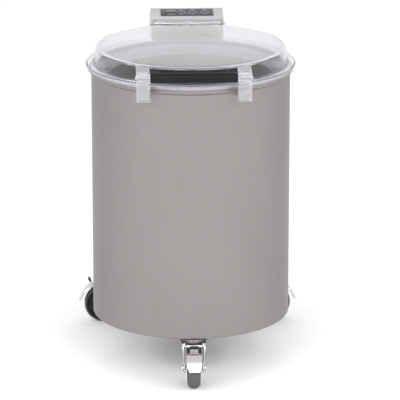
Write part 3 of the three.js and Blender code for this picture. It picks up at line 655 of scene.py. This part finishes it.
# %% Perforated wall
def perforated_wall(radius, thickness, low, high, around, up, hole):
    """A drum wall of around x up square cells. In each cell, eight points on a circle of the hole's
    radius sit inside eight points on the cell's border; four rings of them, two at the outer radius
    and two at the inner one, make the outer face, the hole's wall and the inner face."""
    pitch_angle, pitch_height = 2 * math.pi / around, (high - low) / up
    turn = np.arange(8) * math.pi / 4
    border = np.array([(1, 0), (1, 1), (0, 1), (-1, 1), (-1, 0), (-1, -1), (0, -1), (1, -1)]) / 2
    across = np.array([hole / (radius * pitch_angle), hole / pitch_height])
    circle = np.stack([np.cos(turn), np.sin(turn)], axis=1) * across
    rings = [(border, radius), (circle, radius), (circle, radius - thickness), (border, radius - thickness)]
    cell = np.arange(around * up)
    column, row = cell % around, cell // around
    points = []
    for flat, r in rings:
        angle = (column[:, None] + 0.5 + flat[:, 0]) * pitch_angle
        height = low + (row[:, None] + 0.5 + flat[:, 1]) * pitch_height
        points.append(np.stack([r * np.cos(angle), r * np.sin(angle), height], axis=2))
    points = np.stack(points, axis=1).reshape(-1, 3)
    first = cell[:, None] * 32
    k = np.arange(8)
    faces = []
    for ring in range(3):
        a = first + ring * 8 + k
        b = first + ring * 8 + (k + 1) % 8
        faces.append(np.stack([a, b, b + 8, a + 8], axis=2).reshape(-1, 4))
    return points, np.vstack(faces)


basket_low, basket_high = span("basket")
BASKET_RADIUS = float(basket_high[0]) - 4 * MM
BASKET_WALL = 3 * MM
BASKET_TOP, BASKET_BOTTOM = float(basket_high[2]), float(basket_low[2])
HOLES_AROUND, HOLES_UP, HOLE_RADIUS = 72, 24, 3.4 * MM
wall_low, wall_high = BASKET_BOTTOM + 30 * MM, BASKET_TOP - 25 * MM
points, faces = perforated_wall(BASKET_RADIUS, BASKET_WALL, wall_low, wall_high, HOLES_AROUND, HOLES_UP,
                                HOLE_RADIUS)
basket_wall = mesh_object("basket_wall", points, faces)
merge_doubles(basket_wall)
print("perforated wall:", len(basket_wall.data.polygons), "faces")

# %% Rim, floor and boss of the basket
BASKET_INNER = BASKET_RADIUS - BASKET_WALL
BOSS_TOP, SOCKET_TOP = 268.3 * MM, 265.3 * MM
solid_profile = rounded(
    [(BASKET_RADIUS, wall_high), (BASKET_RADIUS, BASKET_TOP - 5 * MM),
     (BASKET_RADIUS + 4 * MM, BASKET_TOP - 5 * MM), (BASKET_RADIUS + 4 * MM, BASKET_TOP),
     (BASKET_INNER, BASKET_TOP), (BASKET_INNER, wall_high)],
    [0, 2, 2, 2, 2, 0], steps=5)
floor_profile = rounded(
    [(BASKET_INNER, wall_low), (BASKET_INNER, BASKET_BOTTOM + 8 * MM),
     (BASKET_RADIUS - 8 * MM, BASKET_BOTTOM + 3 * MM), (33.5 * MM, BASKET_BOTTOM + 3 * MM),
     (25.5 * MM, BOSS_TOP), (0, BOSS_TOP), (0, SOCKET_TOP), (22.5 * MM, SOCKET_TOP),
     (22.5 * MM, BASKET_BOTTOM), (BASKET_RADIUS - 6 * MM, BASKET_BOTTOM),
     (BASKET_RADIUS, BASKET_BOTTOM + 8 * MM), (BASKET_RADIUS, wall_low)],
    [0, 4, 3, 4, 3, 0, 0, 1, 1, 5, 4, 0], steps=5)
basket_rim = lathe("basket_rim", solid_profile, 144, open_ends=True)
basket_floor = lathe("basket_floor", floor_profile, 144, open_ends=True)
basket = merged("perforated_basket", [basket_wall, basket_rim, basket_floor])
merge_doubles(basket)
smooth(basket, SHARP)
# The basket wears the darkened steel, painted shade for the inside of the drum.
place(at_drum(dress(basket, SHADE_DARKENED_TUB_STEEL)), "basket_body", "bright_steel", "basket")
print("basket:", len(basket.data.polygons), "faces")

# %% [markdown]
# ## Base plate and rim seal
#
# The base plate is one laser-cut steel plate that carries the drum, the column and the castors. The
# rim seal is a pale silicone strip on the rolled lip: its rounded top is what the lid presses down on.

# %% Base plate
carried_over("base_plate", 0.8 * MM, "base_plate_finished", SHEET_STEEL, "root", "satin_steel")

# %% Rim seal
seal_low, seal_high = span("rim_seal")
SEAL_RADIUS = float(seal_high[0])
seal_profile = rounded(
    [(SEAL_RADIUS - 8 * MM, seal_low[2]), (SEAL_RADIUS, seal_low[2]), (SEAL_RADIUS - 0.5 * MM, seal_high[2]),
     (SEAL_RADIUS - 7.5 * MM, seal_high[2])], [0.5, 0.5, 3.5, 3.5], steps=7)
seal = lathe("rim_seal_strip", seal_profile, 128)
place(at_drum(dress(seal, SEAL)), "root", "pale_seal", "rim_seal")
print("base plate and seal made")

# %% [markdown]
# ## The clear lid
#
# The lid is one moulding of clear polycarbonate: a shallow dome with an upright wall, a flat flange
# that rests on the seal, and a skirt that hangs over the rolled lip. It is turned as one wall of
# even thickness, outside and inside in the same closed outline, because clear plastic only bends
# light properly when it has a real thickness. Generous radii at the crown and at the flange give the
# bright lines that show where the surface turns. The crown wears a milkier copy of the clear
# material, a painted sheen that makes the top of the lid read brighter, and a notch in the skirt at
# the back makes room for the hinge.

# %% Lid shell
lid_low, lid_high = span("lid_dome")
SKIRT_RADIUS = float(lid_high[0])
SKIRT_BOTTOM, CROWN_TOP = float(lid_low[2]), float(lid_high[2])
LID_SHEET = 4 * MM
FLANGE_TOP = SKIRT_BOTTOM + 11.5 * MM
FLANGE_UNDER = FLANGE_TOP - LID_SHEET
LID_TOP = FLANGE_TOP + 40 * MM
LID_WALL = CASING_RADIUS - 8 * MM
LID_INNER = LID_WALL - LID_SHEET
SKIRT_INNER = SKIRT_RADIUS - LID_SHEET
lid_profile = rounded(
    [(0, CROWN_TOP), (LID_WALL * 0.6, LID_TOP + 2.1 * MM), (LID_WALL - 8 * MM, LID_TOP),
     (LID_WALL - 2 * MM, LID_TOP - 5 * MM), (LID_WALL, FLANGE_TOP), (SKIRT_RADIUS, FLANGE_TOP),
     (SKIRT_RADIUS, SKIRT_BOTTOM), (SKIRT_INNER, SKIRT_BOTTOM),
     (SKIRT_INNER, FLANGE_UNDER), (LID_INNER, FLANGE_UNDER),
     (LID_INNER - 2 * MM, LID_TOP - 7 * MM), (LID_INNER - 6 * MM, LID_TOP - 4 * MM),
     (LID_WALL * 0.6, LID_TOP - 1.9 * MM), (0, CROWN_TOP - LID_SHEET)],
    [0, 60, 3, 5, 2.5, 2.5, 1, 1, 1, 1.5, 3, 3, 60, 0], steps=7)
lid = lathe("clear_lid_dome", lid_profile, 200, smooth_angle=50)
NOTCH = 0.6 * CASING_RADIUS
notch = boxed("notch", (-NOTCH, CASING_RADIUS / 2, SKIRT_BOTTOM - 2 * MM),
              (NOTCH, SKIRT_RADIUS + 5 * MM, FLANGE_UNDER - 0.01 * MM), bevel=0.5 * MM)
lid = cut(lid, notch, smooth_angle=50)
# The faces of the crown take the milkier clear copy, a painted sheen on the top of the lid.
dress(lid, CLEAR_LID, CROWN_PAINTED_SHEEN, face_middles(lid)[:, 2] > LID_TOP - 4.2 * MM)
place(at_drum(lid), "lid", "clear_lid", "lid_dome")
print("lid:", len(lid.data.polygons), "faces")

# %% [markdown]
# ## Grip, rod and latches
#
# The front grip is a black sleeve on a steel rod that runs through both latches. Each latch is a
# clear moulded channel that hangs on the rod and ends in a nose below the rolled lip. The bracket
# between them and the lid is clear as well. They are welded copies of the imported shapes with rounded
# edges, which show as thin bright lines in clear plastic.

# %% Grip sleeve and rod
grip_low, grip_high = span("grip_bar")
GRIP_Y, GRIP_Z = (grip_low[1] + grip_high[1]) / 2, (grip_low[2] + grip_high[2]) / 2
GRIP_RADIUS = (grip_high[2] - grip_low[2]) / 2
HALF_GRIP = float(grip_high[0])
grip_profile = rounded(rectangle(4.3 * MM, -HALF_GRIP, GRIP_RADIUS, HALF_GRIP),
                       [0.4, 3.5, 3.5, 0.4], steps=8)
grip = lathe("grip_sleeve", grip_profile, 64, centre=(0, GRIP_Y, GRIP_Z), axis="x")
place(dress(grip, BLACK_GRIP), "lid", "black_plastic", "grip_bar")
HALF_ROD = float(span("latch_rod")[1][0])
latch_rod = rod("steel_rod", 4 * MM, HALF_ROD, 0.8, 40, 4, centre=(0, GRIP_Y, GRIP_Z), axis="x")
place(dress(latch_rod, BRIGHT_STEEL), "lid", "bright_steel", "latch_rod")
print("grip radius", round(GRIP_RADIUS, 4), "rod half length", round(HALF_ROD, 4))

# %% Clear latches and brackets
for side in ("left", "right"):
    carried_over("latch_" + side, 1.2 * MM, "clear_latch_" + side, CLEAR_LATCH, "latch_" + side + "_body",
                 "clear_lid")
    carried_over("latch_bracket_" + side, 0.9 * MM, "clear_bracket_" + side, CLEAR_LATCH, "lid", "clear_lid")

# %% Hinge leaf and pin
carried_over("lid_hinge_leaf", 0.8 * MM, "clear_hinge_leaf", CLEAR_LATCH, "lid", "clear_lid")
pin_low, pin_high = span("hinge_pin")
pin_middle = (0, (pin_low[1] + pin_high[1]) / 2, (pin_low[2] + pin_high[2]) / 2)
hinge_pin = rod("steel_hinge_pin", 3.5 * MM, float(pin_high[0]), 0.8, 40, 4, centre=pin_middle, axis="x")
place(dress(hinge_pin, BRIGHT_STEEL), "root", "bright_steel", "hinge_pin")
print("hinge pin", len(hinge_pin.data.polygons), "faces")

# %% [markdown]
# ## Control head and column
#
# The head is a folded and textured grey cover with a sloping key panel on top. The column below it
# is the same grey and houses the motor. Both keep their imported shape, with the soft radii of a
# folded sheet. The back cover is a screwed-on steel plate with two columns of vent slots for the
# motor, and a cable gland sits low on the column's side.

# %% Head, column and back cover
carried_over("control_head", 1.6 * MM, "grey_head_cover", GREY_COVER, "root", "grey_housing")
carried_over("rear_column", 1.0 * MM, "grey_column", GREY_COVER, "root", "grey_housing")
cover_low, cover_high = span("column_back_cover")
back_cover = softened("column_back_cover", 0.5 * MM, "steel_back_cover")
SLOT_HALF, SLOT_PITCH, FIRST_SLOT, SLOT_MIDDLE = 20 * MM, 14 * MM, 90 * MM, 28 * MM
slots = []
for row in range(9):
    level = cover_high[2] - FIRST_SLOT - row * SLOT_PITCH
    for middle in (-SLOT_MIDDLE, SLOT_MIDDLE):
        outline = rectangle(middle - SLOT_HALF, level - 2 * MM, middle + SLOT_HALF, level + 2 * MM)
        slots.append(slab("slot", rounded(outline, 1.9), cover_low[1] - 4 * MM, cover_high[1] + 4 * MM,
                          axis="y"))
print("vent slots:", len(slots))
back_cover = cut(back_cover, merged("slots", slots))
place(dress(back_cover, SHEET_STEEL), "root", "satin_steel", "column_back_cover")


# %% Screws on the back cover
def screw(centre, radius=3.4 * MM, height=1.4 * MM):
    """A round-headed screw that faces the back: a domed lathe with a flat-bottomed round socket."""
    profile = rounded([(0, -0.8 * MM), (radius, -0.8 * MM), (radius, height * 0.45), (radius * 0.72, height),
                       (radius * 0.45, height), (radius * 0.42, height * 0.25), (0, height * 0.25)],
                      [0, 0, 0.5, 0.5, 0.1, 0.1, 0], steps=4)
    return moved(lathe("screw", profile, 24),
                 Matrix.Translation(centre) @ Matrix.Rotation(-math.pi / 2, 4, "X"))


cover_screws = [screw((x * 80 * MM, cover_high[1] - 1.6 * MM, cover_low[2] + level * MM))
                for x in (-1, 1) for level in (15, 210, 405, 600)]
print("cover screws:", len(cover_screws))
place(dress(merged("cover_screws", cover_screws), ZINC), "root", "satin_steel")

# %% Cable gland
carried_over("cable_inlet", 0.5 * MM, "cable_gland", BLACK_PART, "root", "black_plastic")

# %% [markdown]
# ## Key panel, display and buttons
#
# The key panel is a dark printed film glued on the sloping top of the head, with three push buttons
# through it and a small display window. The panel's own frame has its origin in the middle of the
# slope and its third axis square to it, so that buttons and marks are drawn flat and then tilted.
# The printed marks are plain rings and bars.

# %% The panel's frame
PANEL_TILT = math.radians(6.6)
film_low, film_high = span("keypad_panel")
film_middle = (film_low + film_high) / 2
panel_centre = Vector((0, float(film_middle[1]), float(film_middle[2]) - 1.05 * MM))
PANEL = Matrix.Translation(panel_centre) @ Matrix.Rotation(PANEL_TILT, 4, "X")
FILM_TOP = 1.8 * MM
PRINT = 0.12 * MM
BUTTON_PLACES = [(-15 + 30 * column) * MM for column in range(3)]
carried_over("keypad_panel", 0.5 * MM, "key_film", FILM, "root", "keypad_film")
print("panel centre", tuple(round(v, 4) for v in panel_centre))

# %% Push buttons
button_profile = rounded(
    np.array([(0, -5.5), (7, -5.5), (7, 3.6), (5.2, 3.6), (4.2, 3.1), (0, 3.0)]) * MM,
    [0, 0.4, 0.9, 0.5, 0.8, 0], steps=5)
for name, x in zip(("start", "stop", "timer"), BUTTON_PLACES):
    button = lathe(name + "_button_cap", button_profile, 48)
    moved(button, PANEL @ Matrix.Translation((x, 0, 0)))
    place(dress(button, BUTTON_CAP), name + "_button_body", "button_cap", name + "_button")
print("three buttons made")


# %% Printed marks and display
def ring_mark(x, outer, inner):
    """A flat printed ring: a lathe of a thin rectangle from the inner to the outer radius."""
    return lathe("ring", rectangle(inner, FILM_TOP, outer, FILM_TOP + PRINT), 40, centre=(x, 0, 0))


def bar_mark(x, y, width, height):
    """A flat printed bar with rounded corners, as a thin slab."""
    outline = rectangle(x - width / 2, y - height / 2, x + width / 2, y + height / 2)
    return slab("bar", rounded(outline, min(width, height) * 0.4 / MM, steps=4), FILM_TOP, FILM_TOP + PRINT)


marks = [ring_mark(x, 9.6 * MM, 9.0 * MM) for x in BUTTON_PLACES]
marks += [bar_mark(x, 15.5 * MM, 9 * MM, 1.6 * MM) for x in BUTTON_PLACES]
marks += [bar_mark(x, -15.5 * MM, 5 * MM, 1.4 * MM) for x in BUTTON_PLACES]
marks += [bar_mark((step * 4 - 50) * MM, 14.5 * MM, 2.2 * MM, 1.4 * MM) for step in range(6)]
marks += [bar_mark(-40 * MM, -14.5 * MM, 20 * MM, 1.2 * MM)]
printed = moved(merged("printed_marks", marks), PANEL)
place(dress(printed, WHITE_PRINT), "root", "keypad_film")
DISPLAY_GLASS = moulded("dark_display_window", "#131418", "#191A1F", 0.08, depth=0.005 * MM)
carried_over("display_window", 0.25 * MM, "display_glass", DISPLAY_GLASS, "root", "black_plastic")
print("marks:", len(printed.data.polygons), "faces")

# %% [markdown]
# ## Castors
#
# The machine stands on three braked swivel castors. On each, a plated plate with its ball race is
# bolted below the base; a pressed and plated fork turns under it and holds the axle; and a pedal on
# a pin through the fork presses on the tread. The wheel has a black moulded centre and a tyre of
# non-marking grey rubber with black sides. Fork and plate keep their packed outline with rolled
# edges. The pedal is a strip bent along a path, and the round parts are turned from profiles. Every
# castor is made in its own frame, with the swivel axis upright at the origin and the wheel trailing
# along x, and is then carried to its place.

# %% Where the castors stand
PLACES = {}
for name, heading in {"front": -90, "rear_left": 180, "rear_right": 0}.items():
    plate_low, plate_high = span("castor_plate_" + name)
    middle = Vector(((plate_low[0] + plate_high[0]) / 2, (plate_low[1] + plate_high[1]) / 2, 0))
    PLACES[name] = Matrix.Translation(middle) @ Matrix.Rotation(math.radians(heading), 4, "Z")
TRAIL = 35 * MM
WHEEL_RADIUS = float(span("castor_tyre_front")[1][2]) / 2
CASTOR_PLATE_TOP = float(span("castor_plate_front")[1][2])
TYRE_HALF = 15.5 * MM
RIM_RADIUS = 33 * MM
print("wheel radius", WHEEL_RADIUS)


# %% Wheel parts
def castor_tyre(name):
    """A tyre turned from a profile with a crowned tread; tread faces take the grey, side faces the black."""
    profile = rounded(
        [(RIM_RADIUS + 0.3 * MM, -TYRE_HALF + 2 * MM), (WHEEL_RADIUS - 9 * MM, -TYRE_HALF),
         (WHEEL_RADIUS - 4 * MM, -TYRE_HALF + 0.9 * MM), (WHEEL_RADIUS, -TYRE_HALF + 7 * MM),
         (WHEEL_RADIUS, TYRE_HALF - 7 * MM), (WHEEL_RADIUS - 4 * MM, TYRE_HALF - 0.9 * MM),
         (WHEEL_RADIUS - 9 * MM, TYRE_HALF), (RIM_RADIUS + 0.3 * MM, TYRE_HALF - 2 * MM)],
        [0.5, 3, 3, 3, 3, 3, 3, 0.5], steps=6)
    tyre = lathe(name, profile, 96, centre=(TRAIL, 0, WHEEL_RADIUS), axis="y")
    middles = face_middles(tyre)
    reach = np.hypot(middles[:, 0] - TRAIL, middles[:, 2] - WHEEL_RADIUS)
    return dress(tyre, TYRE_SIDE, TYRE_TREAD, reach > WHEEL_RADIUS - 4.4 * MM)


def castor_rim(name):
    """A moulded wheel centre: a turned hub, web and felloe with eight ribs across each side."""
    half, hub = 12.5 * MM, 11 * MM
    side = [(4.5 * MM, -half - MM), (hub, -half - MM), (12 * MM, -4 * MM), (RIM_RADIUS - 5 * MM, -4 * MM),
            (RIM_RADIUS - 4 * MM, -half), (RIM_RADIUS, -half)]
    profile = rounded(side + [(r, -h) for r, h in side[::-1]], 0.9, steps=4)
    rim = lathe(name, profile, 72)
    ribs = []
    for turn in range(8):
        rib = boxed("rib", (hub, -1 * MM, -10 * MM), (RIM_RADIUS - 4 * MM, 1 * MM, 10 * MM), 0.4 * MM)
        ribs.append(moved(rib, Matrix.Rotation(turn * math.pi / 4, 4, "Z")))
    rim = merged(name, [rim] + ribs)
    stand = Matrix.Translation((TRAIL, 0, WHEEL_RADIUS)) @ Matrix.Rotation(math.pi / 2, 4, "X")
    return dress(moved(rim, stand), BLACK_PART)


def castor_axle(name):
    """The axle bolt: a turned shank with a washer and a hexagon, head or nut, at each end."""
    pieces = [rod(name, 4 * MM, 28 * MM, 0.5, 32, 3)]
    hexagon = [(6.9 * MM * math.cos(a), 6.9 * MM * math.sin(a)) for a in np.arange(6) * math.pi / 3]
    washer_in, washer_out, nut_out = 24.3 * MM, 25.4 * MM, 29.3 * MM
    for low, high in ((-nut_out, -washer_out), (washer_out, nut_out)):
        pieces.append(slab("hexagon", hexagon, low, high, axis="y", bevel=0.5 * MM))
    for low, high in ((-washer_out, -washer_in), (washer_in, washer_out)):
        washer = rounded(rectangle(4 * MM, low, 7 * MM, high), 0.3, steps=3)
        pieces.append(lathe("washer", washer, 40, axis="y"))
    axle = merged(name, pieces)
    return dress(moved(axle, Matrix.Translation((TRAIL, 0, WHEEL_RADIUS))), ZINC)


def spread_legs(fork, place_matrix):
    """Bends a fork's legs apart towards the crown: points of the legs above the bend's height move
    outwards in proportion to how far up they are, so that the legs slant in to the axle. The crown
    above them keeps its shape."""
    bend, rise_length, crown, spread = 60 * MM, 44 * MM, 107 * MM, 4.5 * MM
    inverse = np.array(place_matrix.inverted())
    points = np.empty(len(fork.data.vertices) * 3)
    fork.data.vertices.foreach_get("co", points)
    points = points.reshape(-1, 3)
    local_y = points @ inverse[1, :3] + inverse[1, 3]
    rise = np.clip((points[:, 2] - bend) / rise_length, 0, 1) * (points[:, 2] < crown)
    leg = (np.abs(local_y) > 20 * MM) & (np.abs(local_y) < 25 * MM)
    shift = np.where(leg, np.sign(local_y) * spread * rise, 0)
    points += shift[:, None] * np.array(place_matrix)[:3, 1]
    fork.data.vertices.foreach_set("co", points.ravel())
    fork.data.update()


def ribbon(name, path, widths, thickness):
    """A pressed strip that follows a path in the x-z plane. At each station the section is a
    rectangle with cut corners, as wide across y as the width there and as thick as the sheet, turned
    to stand square to the path's direction."""
    path, widths = np.asarray(path, float), np.asarray(widths, float)
    along = np.gradient(path, axis=0)
    along /= np.linalg.norm(along, axis=1)[:, None]
    normal = np.stack([-along[:, 1], along[:, 0]], axis=1)
    chamfer = thickness * 0.3
    half_t = thickness / 2
    ring_side = np.array([-1, -1, 1, 1, 1, 1, -1, -1])
    ring_inset = np.array([0, 1, 1, 0, 0, 1, 1, 0]) * chamfer
    ring_up = np.array([-1, -1, -1, -1, 1, 1, 1, 1]) * half_t
    ring_up = ring_up * np.where(np.isin(np.arange(8), (0, 3, 4, 7)), 1 - chamfer / half_t, 1)
    across = ring_side * (widths[:, None] / 2 - ring_inset)
    points = np.stack([path[:, 0:1] + normal[:, 0:1] * ring_up, across,
                       path[:, 1:2] + normal[:, 1:2] * ring_up], axis=2)
    strip = mesh_object(name, points.reshape(-1, 3), grid_faces(len(path), 8))
    close_ends(strip)
    return strip


def close_ends(obj):
    """Fills the open ends of a strip and turns its faces outwards."""
    bm = bmesh.new()
    bm.from_mesh(obj.data)
    bmesh.ops.holes_fill(bm, edges=[e for e in bm.edges if e.is_boundary], sides=0)
    bmesh.ops.recalc_face_normals(bm, faces=bm.faces)
    bm.to_mesh(obj.data)
    bm.free()
    smooth(obj, SHARP)


def travelled(path):
    """How far along the path each of its points lies: the running sum of the steps between them."""
    return np.concatenate([[0], np.cumsum(np.linalg.norm(np.diff(path, axis=0), axis=1))])


def densify(path, widths, stations=60):
    """The same path and widths at evenly spaced stations, by linear interpolation along its length."""
    run = travelled(path)
    even = np.linspace(0, run[-1], stations)
    fine = np.stack([np.interp(even, run, path[:, 0]), np.interp(even, run, path[:, 1])], axis=1)
    return fine, np.interp(even, run, widths)


PIVOT = Vector((TRAIL - 5 * MM, 0, WHEEL_RADIUS * 2 + 6.5 * MM))


def brake_pedal(name):
    """A bent pedal strip with a narrower end, a tab that releases it, its pin and the hub round it."""
    path = rounded(np.array([(-3, 0.2), (26, -3.6), (40, -8.0), (55, -23.5), (65.3, -45)]) * MM, 12,
                   steps=9, closed=False)
    to_tip = travelled(path)[-1] - travelled(path)
    widths = np.interp(to_tip, np.array([0, 2, 9]) * MM, np.array([25, 30, 37]) * MM)
    path, widths = densify(path, widths)
    pieces = [ribbon(name, path, widths, 2.6 * MM)]
    tab_path = rounded(np.array([(30, -3.4), (35, 2.5), (41, 12.5)]) * MM, 6, steps=7, closed=False)
    pieces.append(ribbon("tab", tab_path, np.full(len(tab_path), 20 * MM), 2.4 * MM))
    hub = rounded(rectangle(3.2 * MM, -18.5 * MM, 6 * MM, 18.5 * MM), 0.6, steps=3)
    pieces.append(lathe("hub", hub, 40, axis="y"))
    pieces.append(rod("pin", 3 * MM, 24.8 * MM, 0.5, 28, 3))
    pedal = merged(name, pieces)
    return dress(moved(pedal, Matrix.Translation(PIVOT)), CHROME)


def release_tab(name):
    """The black sleeve over the end of the release tab."""
    path = np.array([(36.5, 5.5), (38.8, 9.3), (41.3, 13.4)]) * MM
    sleeve = ribbon(name, path, np.array([21.5, 22, 20]) * MM, 3.8 * MM)
    return dress(moved(sleeve, Matrix.Translation(PIVOT)), BLACK_RUBBER)


print("castor helpers ready")

# %% The three castors
for name, place_matrix in PLACES.items():
    tyre = moved(castor_tyre("tyre_" + name), place_matrix)
    place(tyre, "wheel_" + name, "grey_tyre", "castor_tyre_" + name)
    rim = moved(castor_rim("wheel_centre_" + name), place_matrix)
    place(rim, "wheel_" + name, "black_plastic", "castor_rim_" + name)
    axle = moved(castor_axle("axle_bolt_" + name), place_matrix)
    place(axle, "fork_" + name, "chromed_steel", "castor_axle_" + name)
    fork = softened("castor_fork_" + name, 0.9 * MM, "pressed_fork_" + name)
    spread_legs(fork, place_matrix)
    place(dress(fork, CHROME), "fork_" + name, "chromed_steel", "castor_fork_" + name)
    pedal = moved(brake_pedal("pressed_pedal_" + name), place_matrix)
    place(pedal, "pedal_" + name, "chromed_steel", "brake_pedal_" + name)
    tab = moved(release_tab("release_tab_" + name), place_matrix)
    place(tab, "pedal_" + name, "black_rubber")
    plate = softened("castor_plate_" + name, 0.8 * MM, "race_plate_" + name)
    # The top faces of the plate wear the dark cast finish as painted shade, standing for the shadow under the
    # casing.
    dress(plate, ZINC, CAST_IRON, face_middles(plate)[:, 2] > CASTOR_PLATE_TOP - 4.4 * MM)
    place(plate, "root", "bright_steel", "castor_plate_" + name)
    print(name, "castor:", sum(len(o.data.polygons) for o in (tyre, rim, axle, fork, pedal, plate)), "faces")

# %% [markdown]
# ## Drive parts and small trim
#
# The drive sits out of sight under the tub and in the column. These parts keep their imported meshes
# and take the finish of the real ones: cast housings, turned steel, black rubber and moulded trim.

# %% Finishes for the drive and trim
WORN_BELT = moulded("black_rubber_belt", "#1B1B1C", "#262627", 0.6, grain=800.0)
for finish, names in {
    CAST_IRON: ("bearing_housing", "driven_pulley", "motor_pulley", "motor_body"),
    BRIGHT_STEEL: ("lower_bearing", "upper_bearing", "drive_shaft", "motor_shaft"),
    BLACK_RUBBER: ("shaft_seal", "tub_mount_front", "tub_mount_right", "tub_mount_left"),
    BLACK_PART: ("drive_hub", "lid_magnet", "lid_switch"),
    SHEET_STEEL: ("motor_mount",),
    WORN_BELT: ("drive_belt",),
    BOARD: ("circuit_board",),
}.items():
    for name in names:
        dress(nodes[name], finish)
print("finishes set on the packed drive parts")

# %% [markdown]
# ## Floor, world and lights
#
# The set is a pale studio: a large near-white floor that runs out of the frame, a bright even world
# that the steel and the clear lid mirror, and four soft panels in an arc in front of the machine.
# They stand far apart, so that no one of them makes a hot spot on the round casing, and together
# they draw the soft shadow under it.

# %% Floor
FLOOR_HALF = 30.0
floor_points = [(-FLOOR_HALF, -FLOOR_HALF, 0), (FLOOR_HALF, -FLOOR_HALF, 0), (FLOOR_HALF, FLOOR_HALF, 0),
                (-FLOOR_HALF, FLOOR_HALF, 0)]
floor = mesh_object("studio_floor", floor_points, [(0, 1, 2, 3)])
floor_paint, floor_tree, floor_shader = principled("matt_white_floor", "#F4F4F4", 0.9, Specular_IOR_Level=0.1)
floor_noise = object_pattern(floor_tree, 3.0, Detail=2.0)
two_tone(floor_tree, floor_shader, floor_noise.outputs["Fac"], "#F4F4F4", "#F2F2F2")
dress(floor, floor_paint)

# %% World and lights
world = bpy.data.worlds.new("studio")
bpy.context.scene.world = world
world.use_nodes = True
sky = world.node_tree.nodes["Background"]
sky.inputs["Color"].default_value = linear("#FFFFFF")
sky.inputs["Strength"].default_value = 1.0


def panel_light(name, place_at, aim_at, width, height, power):
    """A rectangular soft light of a size in metres that faces a point."""
    data = bpy.data.lights.new(name, "AREA")
    data.shape = "RECTANGLE"
    data.size, data.size_y, data.energy = width, height, power
    lamp = bpy.data.objects.new(name, data)
    lamp.location = place_at
    lamp.rotation_euler = (Vector(aim_at) - Vector(place_at)).to_track_quat("-Z", "Y").to_euler()
    bpy.context.scene.collection.objects.link(lamp)


ARC_RADIUS, ARC_HEIGHT = 4.0, 2.7
for turn, power in ((-66, 66), (-22, 48), (22, 48), (66, 66)):
    reach = math.radians(turn)
    spot = (ARC_RADIUS * math.sin(reach), -ARC_RADIUS * math.cos(reach), ARC_HEIGHT)
    panel_light("front_ring_%d" % turn, spot, (0, -0.1, 0.1), 2.8, 1.2, power)
print("lights and world ready")
